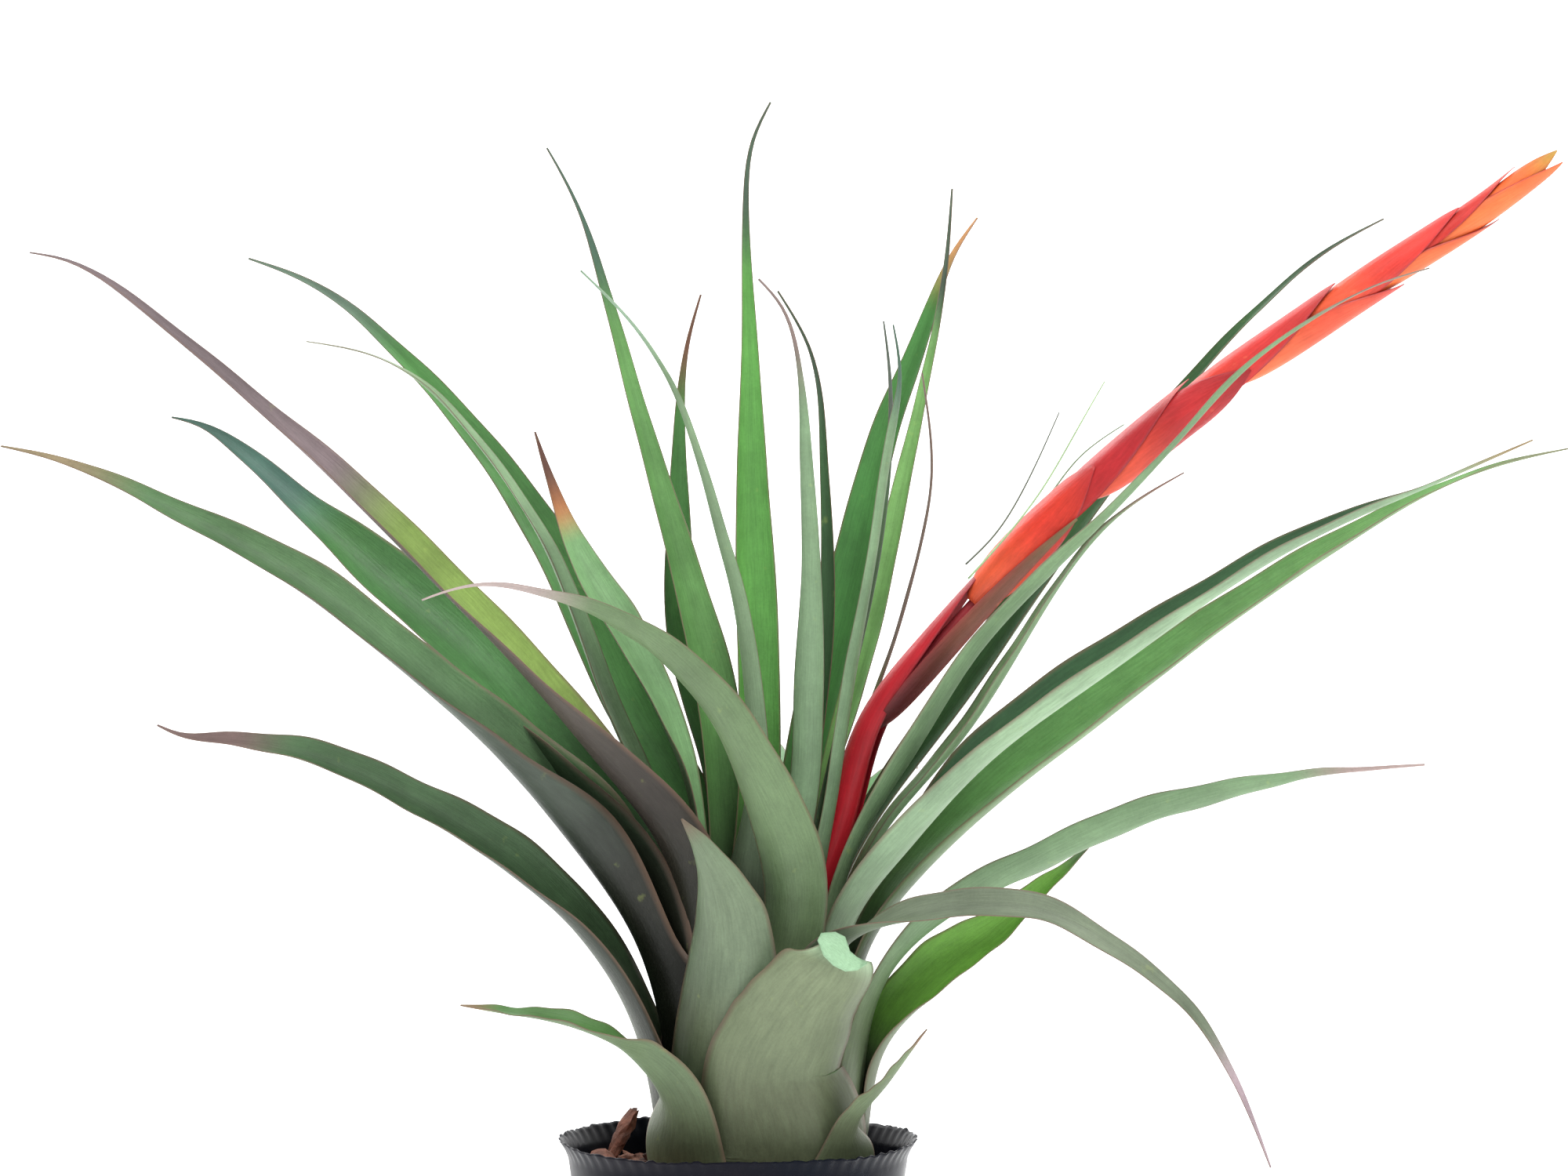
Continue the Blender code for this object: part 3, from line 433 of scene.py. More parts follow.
def sheet(rows, side, along, across):
    """Grid of points for a channelled strip that follows the rows; side is its first width way."""
    middle = np.array([row[0] for row in rows])
    stations = np.r_[0, np.cumsum(np.linalg.norm(np.diff(middle, axis=0), axis=1))]
    fine = np.linspace(0, stations[-1], 241)
    line = smooth_line(middle, stations, fine)
    ahead = np.gradient(line, fine, axis=0)
    ahead /= np.linalg.norm(ahead, axis=1)[:, None]
    width_way = np.zeros_like(ahead)
    first = np.array(side) - ahead[0] * np.dot(side, ahead[0])
    width_way[0] = first / np.linalg.norm(first)
    for i in range(len(fine) - 1):
        carried = width_way[i] - ahead[i + 1] * np.dot(width_way[i], ahead[i + 1])
        width_way[i + 1] = carried / np.linalg.norm(carried)
    roll = steady([row[3] for row in rows], stations, fine)
    up_way = np.cross(ahead, width_way)
    cos_roll = np.cos(roll)[:, None]
    sin_roll = np.sin(roll)[:, None]
    rolled = width_way * cos_roll - up_way * sin_roll
    raised = up_way * cos_roll + width_way * sin_roll
    wanted = np.linspace(0, stations[-1], along + 1)
    centre = np.stack([np.interp(wanted, fine, line[:, i]) for i in range(3)], 1)
    rolled = np.stack([np.interp(wanted, fine, rolled[:, i]) for i in range(3)], 1)
    raised = np.stack([np.interp(wanted, fine, raised[:, i]) for i in range(3)], 1)
    rolled /= np.linalg.norm(rolled, axis=1)[:, None]
    raised /= np.linalg.norm(raised, axis=1)[:, None]
    half = np.maximum(steady([row[1] for row in rows], stations, wanted), TIP_HALF_WIDTH)[:, None]
    arc = steady([row[2] for row in rows], stations, wanted)[:, None]
    spread = np.linspace(-1, 1, across + 1)[None, :]
    out = half / arc * np.sin(arc * spread)
    lift = half / arc * (1 - np.cos(arc * spread))
    return centre[:, None] + rolled[:, None] * out[..., None] + raised[:, None] * lift[..., None]


def wall_radius(z):
    """Outer radius of the pot's plain wall at height z."""
    return FOOT_RADIUS + (NECK_RADIUS - FOOT_RADIUS) * z / (POT_HEIGHT - LIP_HEIGHT)


def spike_frame():
    """Points, directions and the upper and front ways along the flower spike, by millimetre."""
    middle = np.array([in_space(x, z, y) for x, z, y in SPIKE_LINE])
    stations = np.r_[0, np.cumsum(np.linalg.norm(np.diff(middle, axis=0), axis=1))]
    places = np.arange(0.0, stations[-1])
    line = smooth_line(middle, stations, places)
    ahead = np.gradient(line, axis=0)
    ahead /= np.linalg.norm(ahead, axis=1)[:, None]
    front = np.tile((0.0, -1.0, 0.0), (len(places), 1))
    front -= ahead * np.sum(front * ahead, axis=1)[:, None]
    front /= np.linalg.norm(front, axis=1)[:, None]
    upper = np.cross(front, ahead)
    return places, line, upper, front


def bract_grid(entry, frame, along, across):
    """Grid for a bract that hugs the spike, swells from the stem and ends in a point."""
    name, low, high, outer, side, wrap = entry
    places, line, upper, front = frame
    high = min(high, places[-1])
    base_radius = STEM_RADIUS + 0.75
    grid = np.zeros((along + 1, across + 1, 3))
    for i in range(along + 1):
        share = i / along
        place = low + (high - low) * share
        swell = 1.0 - math.exp(-(place - low) / BRACT_SWELL)
        radius = base_radius + (outer - base_radius) * swell
        half = math.radians(wrap) * (1.0 - share ** 2.4) + 0.05
        here = np.array([np.interp(place, places, line[:, k]) for k in range(3)])
        up_way = np.array([np.interp(place, places, upper[:, k]) for k in range(3)])
        front_way = np.array([np.interp(place, places, front[:, k]) for k in range(3)])
        for j in range(across + 1):
            angle = math.radians(side) + half * (2.0 * j / across - 1.0)
            grid[i, j] = here + radius * (up_way * math.cos(angle) + front_way * math.sin(angle))
    return grid


def wobble(seed, value, rate):
    """Slow repeatable waver, about -1 to 1."""
    return (np.sin(value * rate + seed * 1.7) + 0.6 * np.sin(value * rate * 2.3 + seed * 4.1)) / 1.6


# ---- meshes ----

def shell_mesh(name, grid, thickness, tint_top, tint_bottom, facts):
    """Closed thin shell over a grid of points, thickest along its middle, with colour and facts."""
    rows, columns = grid.shape[:2]
    along_way = np.gradient(grid, axis=0)
    across_way = np.gradient(grid, axis=1)
    normal = np.cross(along_way, across_way)
    normal /= np.maximum(np.linalg.norm(normal, axis=2), 1e-9)[..., None]
    spread = np.abs(np.linspace(-1, 1, columns))[None, :, None]
    half = 0.5 * thickness * (1.0 - 0.45 * spread ** 3)
    top = (grid + normal * half).reshape(-1, 3)
    bottom = (grid - normal * half).reshape(-1, 3)
    index = np.arange(rows * columns).reshape(rows, columns)
    a = index[:-1, :-1].ravel()
    b = index[1:, :-1].ravel()
    c = index[1:, 1:].ravel()
    d = index[:-1, 1:].ravel()
    total = rows * columns
    faces = np.stack([a, b, c, d], 1).tolist()
    faces += np.stack([d + total, c + total, b + total, a + total], 1).tolist()
    rim = list(index[:, 0]) + list(index[-1, 1:]) + list(index[-2::-1, -1]) + list(index[0, -2:0:-1])
    for here, after in zip(rim, rim[1:] + rim[:1]):
        faces.append([int(after), int(here), int(here) + total, int(after) + total])
    faces = [face[::-1] for face in faces] if flipped(grid, normal) else faces
    mesh = smooth_mesh(name, np.vstack([top, bottom]), faces)
    tint = np.ones((total * 2, 4))
    tint[:total, :3] = tint_top.reshape(-1, 3)
    tint[total:, :3] = tint_bottom.reshape(-1, 3)
    layer = mesh.attributes.new("tint", "FLOAT_COLOR", "POINT")
    layer.data.foreach_set("color", tint.ravel())
    for key, values in facts.items():
        layer = mesh.attributes.new(key, "FLOAT", "POINT")
        flat = np.asarray(values, float).ravel()
        layer.data.foreach_set("value", np.concatenate([flat, flat]))
    mesh.validate()
    mesh.update()
    return mesh


def flipped(grid, normal):
    """True when the faces made in grid order would look inwards."""
    across_way = grid[0, 1] - grid[0, 0]
    along_way = grid[1, 0] - grid[0, 0]
    return np.dot(np.cross(along_way, across_way), normal[0, 0]) < 0


def place(name, mesh, look, slot, *nodes):
    """Makes the piece, gives it its material, and lays it over its CAD node."""
    made = bpy.data.objects.new(name, mesh)
    bpy.context.scene.collection.objects.link(made)
    mesh.materials.append(look)
    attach(made, BODY)
    if nodes:
        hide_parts(*nodes)
    return made


def ring_faces(rings, sides):
    """Quads between neighbouring rings of points, each ring closed on itself."""
    faces = []
    for i in range(rings - 1):
        for j in range(sides):
            k = (j + 1) % sides
            faces.append((i * sides + j, i * sides + k, (i + 1) * sides + k, (i + 1) * sides + j))
    return faces


def smooth_mesh(name, points, faces):
    """Mesh in metres from points in millimetres, shaded smooth."""
    mesh = bpy.data.meshes.new(name)
    mesh.from_pydata((points * MM).tolist(), [], faces)
    mesh.polygons.foreach_set("use_smooth", [True] * len(mesh.polygons))
    return mesh


# ---- materials ----

def new_material(name):
    """An empty Principled material and short ways to add and join its nodes."""
    made = bpy.data.materials.new(name)
    made.use_nodes = True
    tree = made.node_tree
    shader = tree.nodes["Principled BSDF"]

    def add(kind, **values):
        node = tree.nodes.new(kind)
        for key, value in values.items():
            if key in node.inputs:
                node.inputs[key].default_value = value
            else:
                setattr(node, key, value)
        return node

    def join(source, target):
        tree.links.new(source, target)

    return made, shader, add, join


def math_node(add, join, operation, first, second):
    node = add("ShaderNodeMath", operation=operation)
    for slot_number, value in enumerate((first, second)):
        if isinstance(value, (int, float)):
            node.inputs[slot_number].default_value = value
        else:
            join(value, node.inputs[slot_number])
    return node.outputs[0]


def spread_node(add, join, source, low, high, new_low, new_high):
    node = add("ShaderNodeMapRange")
    join(source, node.inputs[0])
    for slot_number, value in enumerate((low, high, new_low, new_high)):
        node.inputs[slot_number + 1].default_value = value
    return node.outputs[0]


def blend_color(add, join, amount, first, second, way="MIX"):
    node = add("ShaderNodeMix", data_type="RGBA", blend_type=way)
    if isinstance(amount, (int, float)):
        node.inputs[0].default_value = amount
    else:
        join(amount, node.inputs[0])
    for slot_number, value in ((6, first), (7, second)):
        if isinstance(value, tuple):
            node.inputs[slot_number].default_value = value
        else:
            join(value, node.inputs[slot_number])
    return node.outputs[2]


def tissue_material(name, grain, fleck, margin, rough, bump_strength, scurf):
    """Plant tissue: the mesh's tint with lengthwise veins, scurf, flecks and a thin dark margin."""
    made, shader, add, join = new_material(name)
    tint = add("ShaderNodeAttribute", attribute_name="tint")
    across = add("ShaderNodeAttribute", attribute_name="across")
    along = add("ShaderNodeAttribute", attribute_name="along")
    own = add("ShaderNodeAttribute", attribute_name="own")
    edge = add("ShaderNodeAttribute", attribute_name="edge")
    strip = add("ShaderNodeCombineXYZ")
    join(math_node(add, join, "MULTIPLY", across.outputs["Fac"], grain), strip.inputs[0])
    join(math_node(add, join, "MULTIPLY", along.outputs["Fac"], 9.0), strip.inputs[1])
    join(own.outputs["Fac"], strip.inputs[2])
    veins = add("ShaderNodeTexNoise", Scale=1.0, Detail=4.0, Roughness=0.6)
    join(strip.outputs[0], veins.inputs["Vector"])
    vein_light = spread_node(add, join, veins.outputs["Fac"], 0.3, 0.7, 0.86, 1.12)
    place_node = add("ShaderNodeTexCoord")
    blotch = add("ShaderNodeTexNoise", Scale=26.0, Detail=5.0, Roughness=0.6)
    join(place_node.outputs["Object"], blotch.inputs["Vector"])
    blotch_light = spread_node(add, join, blotch.outputs["Fac"], 0.3, 0.7, 0.74, 1.16)
    speck = add("ShaderNodeTexNoise", Scale=900.0, Detail=2.0, Roughness=0.7)
    join(place_node.outputs["Object"], speck.inputs["Vector"])
    speck_light = spread_node(add, join, speck.outputs["Fac"], 0.3, 0.7, 1.0 - scurf, 1.0 + scurf)
    light = math_node(add, join, "MULTIPLY", vein_light, blotch_light)
    light = math_node(add, join, "MULTIPLY", light, speck_light)
    grey = add("ShaderNodeCombineColor")
    for slot_number in range(3):
        join(light, grey.inputs[slot_number])
    color = blend_color(add, join, 1.0, tint.outputs["Color"], grey.outputs[0], "MULTIPLY")
    flecks = add("ShaderNodeTexNoise", Scale=140.0, Detail=3.0, Roughness=0.55)
    join(place_node.outputs["Object"], flecks.inputs["Vector"])
    fleck_amount = spread_node(add, join, flecks.outputs["Fac"], 0.68, 0.8, 0.0, 0.2)
    color = blend_color(add, join, fleck_amount, color, fleck)
    rim = spread_node(add, join, edge.outputs["Fac"], 0.9, 1.0, 0.0, 0.75)
    color = blend_color(add, join, rim, color, margin)
    join(color, shader.inputs["Base Color"])
    join(spread_node(add, join, speck.outputs["Fac"], 0.3, 0.7, rough - 0.06, rough + 0.08),
         shader.inputs["Roughness"])
    shader.inputs["Specular IOR Level"].default_value = 0.3
    bump = add("ShaderNodeBump", Strength=bump_strength, Distance=0.0006)
    height = math_node(add, join, "ADD", veins.outputs["Fac"],
                       math_node(add, join, "MULTIPLY", speck.outputs["Fac"], 0.35))
    join(height, bump.inputs["Height"])
    join(bump.outputs[0], shader.inputs["Normal"])
    return made


def pot_material():
    made, shader, add, join = new_material("pot_plastic")
    place_node = add("ShaderNodeTexCoord")
    cloud = add("ShaderNodeTexNoise", Scale=14.0, Detail=4.0, Roughness=0.55)
    join(place_node.outputs["Object"], cloud.inputs["Vector"])
    dust = add("ShaderNodeTexNoise", Scale=420.0, Detail=3.0, Roughness=0.7)
    join(place_node.outputs["Object"], dust.inputs["Vector"])
    color = blend_color(add, join, spread_node(add, join, cloud.outputs["Fac"], 0.35, 0.65, 0, 1),
                        (0.002, 0.004, 0.009, 1.0), (0.007, 0.006, 0.010, 1.0))
    dusty = spread_node(add, join, dust.outputs["Fac"], 0.6, 0.75, 0.0, 0.08)
    color = blend_color(add, join, dusty, color, (0.05, 0.045, 0.045, 1.0))
    join(color, shader.inputs["Base Color"])
    join(spread_node(add, join, cloud.outputs["Fac"], 0.3, 0.7, 0.2, 0.42),
         shader.inputs["Roughness"])
    shader.inputs["Specular IOR Level"].default_value = 0.07
    bump = add("ShaderNodeBump", Strength=0.3, Distance=0.0015)
    join(math_node(add, join, "ADD", cloud.outputs["Fac"],
                   math_node(add, join, "MULTIPLY", dust.outputs["Fac"], 0.1)),
         bump.inputs["Height"])
    join(bump.outputs[0], shader.inputs["Normal"])
    return made


def bark_material():
    made, shader, add, join = new_material("bark")
    place_node = add("ShaderNodeTexCoord")
    tint = add("ShaderNodeAttribute", attribute_name="tint")
    grain = add("ShaderNodeTexNoise", Scale=160.0, Detail=6.0, Roughness=0.7)
    join(place_node.outputs["Object"], grain.inputs["Vector"])
    dark = spread_node(add, join, grain.outputs["Fac"], 0.3, 0.7, 0.35, 1.35)
    grey = add("ShaderNodeCombineColor")
    for slot_number in range(3):
        join(dark, grey.inputs[slot_number])
    color = blend_color(add, join, 1.0, tint.outputs["Color"], grey.outputs[0], "MULTIPLY")
    join(color, shader.inputs["Base Color"])
    shader.inputs["Roughness"].default_value = 0.82
    bump = add("ShaderNodeBump", Strength=0.9, Distance=0.0015)
    join(grain.outputs["Fac"], bump.inputs["Height"])
    join(bump.outputs[0], shader.inputs["Normal"])
    return made


# ---- leaves ----

def leaf_tints(name, along, across, wrap_share, height):
    """Colours of the inner and outer faces over the leaf's grid, with painted shade that darkens the
    leaves towards their bases.
    """
    inner, outer, tip, tip_start = LOOKS.get(name, PLAIN)
    sheath_share = ramp(wrap_share + 0.16, wrap_share - 0.04, along)[..., None]
    tip_share = ramp(tip_start - 0.05, tip_start + 0.04, along)[..., None]
    middle = np.exp(-(across / 0.22) ** 2)[..., None]
    inner_color = np.ones(along.shape + (3,)) * linear(inner)
    outer_color = np.ones(along.shape + (3,)) * linear(outer)
    inner_color = inner_color * (1.0 - 0.12 * middle)
    # Painted shade: towards its base this leaf darkens to dark brown on both faces, where the leaves
    # shade each other. The inner face also turns purple-brown along one side.
    if name == "left_dark":
        dark = ramp(0.46, 0.26, along)[..., None]
        side = ramp(0.35, 0.95, across)[..., None] * ramp(0.3, 0.5, along)[..., None]
        inner_color = inner_color * (1 - dark) + linear((92, 74, 66)) * dark
        inner_color = inner_color * (1 - 0.8 * side) + linear((128, 104, 112)) * 0.8 * side
        outer_color = outer_color * (1 - 0.5 * dark) + linear((64, 54, 54)) * 0.5 * dark
    # Painted shade: towards their bases both faces of these leaves darken to grey, where the leaves
    # shade each other.
    if name in ("left_long", "left_wide"):
        dark = ramp(0.40, 0.22, along)[..., None]
        outer_color = outer_color * (1 - dark) + linear((84, 80, 80)) * dark
        inner_color = inner_color * (1 - 0.6 * dark) + linear((70, 76, 70)) * 0.6 * dark
    if name == "left_inner":
        band = (ramp(0.84, 0.9, along) * ramp(0.97, 0.92, along))[..., None]
        inner_color = inner_color * (1 - band) + linear((214, 140, 96)) * band
    inner_color = inner_color * (1 - sheath_share) + linear((104, 116, 96)) * sheath_share
    outer_color = outer_color * (1 - 0.7 * sheath_share) + linear((136, 142, 116)) * 0.7 * sheath_share
    # Painted shade: the leaves darken towards the bottom of the plant, where they shade one another.
    # The front leaves darken least, the hidden leaves most, and the outer faces of the left leaves
    # nearly to black.
    if name in FRONT_LEAVES:
        inner_color = inner_color * (0.6 + 0.4 * ramp(110.0, 190.0, height)[..., None])
        outer_color = outer_color * (0.72 + 0.28 * ramp(110.0, 200.0, height)[..., None])
    else:
        inner_color = inner_color * (0.16 + 0.84 * ramp(150.0, 300.0, height)[..., None])
        low, high, least = (190.0, 330.0, 0.06) if name.startswith("left_") else (150.0, 260.0, 0.22)
        outer_color = outer_color * (least + (1 - least) * ramp(low, high, height)[..., None])
    if name == "left_mid":
        shade = ramp(-0.5, 0.8, across) * ramp(300.0, 210.0, height)
        outer_color = outer_color * (1.0 - 0.82 * shade[..., None])
        inner_color = inner_color * (1.0 - 0.5 * shade[..., None])
    if name == "front_short":
        shade = ramp(0.1, -0.9, across) * ramp(250.0, 150.0, height)
        outer_color = outer_color * (1.0 - 0.5 * shade[..., None])
    inner_color = inner_color * (0.72, 0.76, 0.66)
    outer_color = outer_color * (0.52, 0.56, 0.47)
    inner_color = inner_color * (1 - tip_share) + linear(tip) * tip_share
    outer_color = outer_color * (1 - tip_share) + linear(tip) * tip_share
    return inner_color, outer_color


def broad_sheath(rows, top, gain):
    """Widens a hidden sheath round its own circle, so the sheaths close up as they do in life."""
    wide = []
    for point, half, arc, roll in rows:
        share = float(ramp(top, top - SHEATH_FADE, point[2]))
        grow = 1.0 + gain * share
        wide.append((point, half * grow, arc * grow, roll))
    return wide


def lean_top(rows):
    """Narrows the torn leaf's upper half and leans it to the right."""
    leaned = []
    for point, half, arc, roll in rows:
        share = float(ramp(125.0, 195.0, point[2]))
        moved = np.array(point) + (5.0 * share, 0.0, 0.0)
        leaned.append((moved, half * (1 - 0.14 * share), arc, roll))
    return leaned


def seen_at(points):
    """Front-view x and z of points in space."""
    far = EYE_DISTANCE / (EYE_DISTANCE + points[..., 1])
    return EYE_X + (points[..., 0] - EYE_X) * far, EYE_Z + (points[..., 2] - EYE_Z) * far


def tear_top(grid):
    """Cuts the front leaf off along its ragged tear."""
    rows, columns = grid.shape[:2]
    torn = grid.copy()
    row_place = np.linspace(0, 1, rows)
    tear_x, tear_z = np.array(TEAR_LINE, float).T
    for j in range(columns):
        x, z = seen_at(grid[:, j])
        over = z - np.interp(x, tear_x, tear_z)
        above = np.nonzero(over > 0)[0]
        if len(above) == 0:
            continue
        i = max(1, above[0])
        limit = row_place[i - 1] + (row_place[i] - row_place[i - 1]) * (
            -over[i - 1] / (over[i] - over[i - 1]))
        for axis in range(3):
            torn[:, j, axis] = np.interp(row_place * limit, row_place, grid[:, j, axis])
    return torn


def build_flap(grid, look):
    """Pale flap that curls forward from the torn top."""
    steps, levels = 20, 6
    share = np.linspace(0, 1, steps + 1)
    edges = []
    for line in (FLAP_FOOT, FLAP_TOP):
        x, z = np.array(line, float).T
        place_on = np.linspace(0, 1, len(x))
        edges.append(np.stack([np.interp(share, place_on, x), np.interp(share, place_on, z)], 1))
    seen_x, seen_z = seen_at(grid)
    points = np.zeros((steps + 1, levels + 1, 3))
    for i in range(steps + 1):
        for j in range(levels + 1):
            x, z = edges[0][i] + (edges[1][i] - edges[0][i]) * j / levels
            near = np.argmin((seen_x - x) ** 2 + (seen_z - z) ** 2)
            y = grid.reshape(-1, 3)[near, 1] - 1.2 - 3.0 * math.sin(math.pi * (1 - j / levels) * 0.5)
            far = 1.0 + y / EYE_DISTANCE
            points[i, j] = (EYE_X + (x - EYE_X) * far, y, EYE_Z + (z - EYE_Z) * far)
    points[:, :, 1] = np.minimum.accumulate(points[:, ::-1, 1], axis=1)[:, ::-1]
    color = np.ones(points.shape) * linear((146, 182, 146))
    flat = np.repeat(share[:, None], levels + 1, 1)
    across = np.repeat(np.linspace(-1, 1, levels + 1)[None, :], steps + 1, 0)
    facts = {"along": flat, "across": across, "own": flat * 0 + 77.0, "edge": np.abs(across) * 0.93}
    mesh = shell_mesh("torn_flap", points, 0.5, color, color, facts)
    place("look_torn_flap", mesh, look, "leaf")


def build_leaves(look):
    for number, leaf in enumerate(LEAVES):
        name = leaf[0]
        rows = leaf_rows(leaf)
        if name == "front_torn":
            rows = lean_top(rows)
        if name not in FRONT_LEAVES:
            left_outer = name in ("left_long", "left_wide", "left_dark")
            top = LEFT_SHEATH_TOP if left_outer else leaf[3] + SHEATH_REACH
            rows = broad_sheath(rows, top, 0.85 if left_outer else 0.55)
        turn = math.radians(leaf[2])
        along_count = 96
        across_count = 16
        grid = sheet(rows, (-math.sin(turn), math.cos(turn), 0.0), along_count, across_count)
        along = np.repeat(np.linspace(0, 1, along_count + 1)[:, None], across_count + 1, 1)
        across = np.repeat(np.linspace(-1, 1, across_count + 1)[None, :], along_count + 1, 0)
        length = np.sum(np.linalg.norm(np.diff(grid[:, across_count // 2], axis=0), axis=1))
        wave = wobble(number, along, 26.0) * np.abs(across) ** 3 * ramp(0.3, 0.5, along)
        wave *= ramp(1.0, 0.85, along)
        grid[..., 2] += 0.9 * wave
        if name == "front_torn":
            build_flap(grid, look)
            grid = tear_top(grid)
        sheath_share = (leaf[3] + 25.0) / length
        inner, outer = leaf_tints(name, along, across, sheath_share, grid[..., 2])
        facts = {"along": along * length / 100.0, "across": across,
                 "own": np.full(along.shape, number * 3.1), "edge": np.abs(across)}
        mesh = shell_mesh("leaf_" + name, grid, LEAF_THICKNESS, *faces_up(grid, inner, outer), facts)
        place("look_leaf_" + name, mesh, look, "leaf", "leaf_" + name)


def faces_up(grid, inner, outer):
    """The shell's top side lies on the side that the grid's own normal points to: the inner one
    when it points to the side the margins rise to."""
    rows, columns = grid.shape[:2]
    row = max(1, rows // 8)
    along_way = grid[row + 1, columns // 2] - grid[row, columns // 2]
    across_way = grid[row, columns // 2 + 1] - grid[row, columns // 2]
    normal = np.cross(along_way, across_way)
    rise = 0.5 * (grid[row, 0] + grid[row, -1]) - grid[row, columns // 2]
    return (inner, outer) if np.dot(normal, rise) > 0 else (outer, inner)


# ---- flower spike ----

def build_spike(bract_look, leaf_look):
    spike = spike_frame()
    places, line, upper, front = spike
    sides = 16
    stops = np.linspace(0.0, places[-1] - 12.0, 120)
    ring = []
    for stop in stops:
        here = np.array([np.interp(stop, places, line[:, k]) for k in range(3)])
        up_way = np.array([np.interp(stop, places, upper[:, k]) for k in range(3)])
        front_way = np.array([np.interp(stop, places, front[:, k]) for k in range(3)])
        radius = STEM_RADIUS * (1.0 - 0.45 * stop / stops[-1])
        angles = np.linspace(0, 2 * math.pi, sides, endpoint=False)
        ring.append(here + radius * (np.cos(angles)[:, None] * up_way
                                     + np.sin(angles)[:, None] * front_way))
    tube = np.array(ring)
    faces = ring_faces(len(stops), sides)
    faces.append(tuple(range(sides - 1, -1, -1)))
    faces.append(tuple((len(stops) - 1) * sides + j for j in range(sides)))
    mesh = smooth_mesh("spike_stem", tube.reshape(-1, 3), faces)
    count = len(stops) * sides
    tint = np.ones((count, 4))
    tint[:, :3] = linear((150, 50, 56))
    mesh.attributes.new("tint", "FLOAT_COLOR", "POINT").data.foreach_set("color", tint.ravel())
    for key, values in (("along", np.repeat(stops / 100.0, sides)), ("across", np.zeros(count)),
                        ("own", np.zeros(count)), ("edge", np.zeros(count))):
        mesh.attributes.new(key, "FLOAT", "POINT").data.foreach_set("value", values)
    place("look_spike_stem", mesh, bract_look, "stem", "spike_stem")
    for number, entry in enumerate(BRACTS):
        rows, columns = 44, 24
        grid = bract_grid(entry, spike, rows, columns)
        share = np.repeat(np.linspace(0, 1, rows + 1)[:, None], columns + 1, 1)
        across = np.repeat(np.linspace(-1, 1, columns + 1)[None, :], rows + 1, 0)
        base, middle, tip = [linear(color) for color in BRACT_LOOKS[entry[0]]]
        first = ramp(0.1, 0.6, share)[..., None]
        last = ramp(0.7, 1.0, share)[..., None]
        color = base * (1 - first) + middle * first
        color = color * (1 - last) + tip * last
        side_red = (np.abs(across) ** 2)[..., None] * 0.35
        color = color * (1 - side_red) + linear((176, 44, 58)) * side_red
        facts = {"along": share, "across": across, "own": np.full(share.shape, number * 5.3),
                 "edge": np.abs(across) * ramp(0.25, 0.5, share)}
        mesh = shell_mesh(entry[0], grid, BRACT_THICKNESS, color * (0.7, 0.5, 0.45),
                          color * (0.86, 0.6, 0.5), facts)
        place("look_" + entry[0], mesh, bract_look, "bract", entry[0])
    for number, (name, points) in enumerate(SPIKE_THREADS):
        rows = [(in_space(x, z, y), half, math.radians(40), 0.0) for x, z, y, half in points]
        grid = sheet(rows, (0.0, -1.0, 0.0), 40, 6)
        along = np.repeat(np.linspace(0, 1, 41)[:, None], 7, 1)
        across = np.repeat(np.linspace(-1, 1, 7)[None, :], 41, 0)
        tone = [(96, 104, 88), (150, 176, 130), (120, 140, 110)][number]
        color = np.ones(along.shape + (3,)) * linear(tone)
        facts = {"along": along, "across": across, "own": np.full(along.shape, 90.0 + number),
                 "edge": np.abs(across) * 0.9}
        mesh = shell_mesh(name, grid, 0.5, color, color, facts)
        place("look_" + name, mesh, leaf_look, "leaf", name)


# ---- pot ----

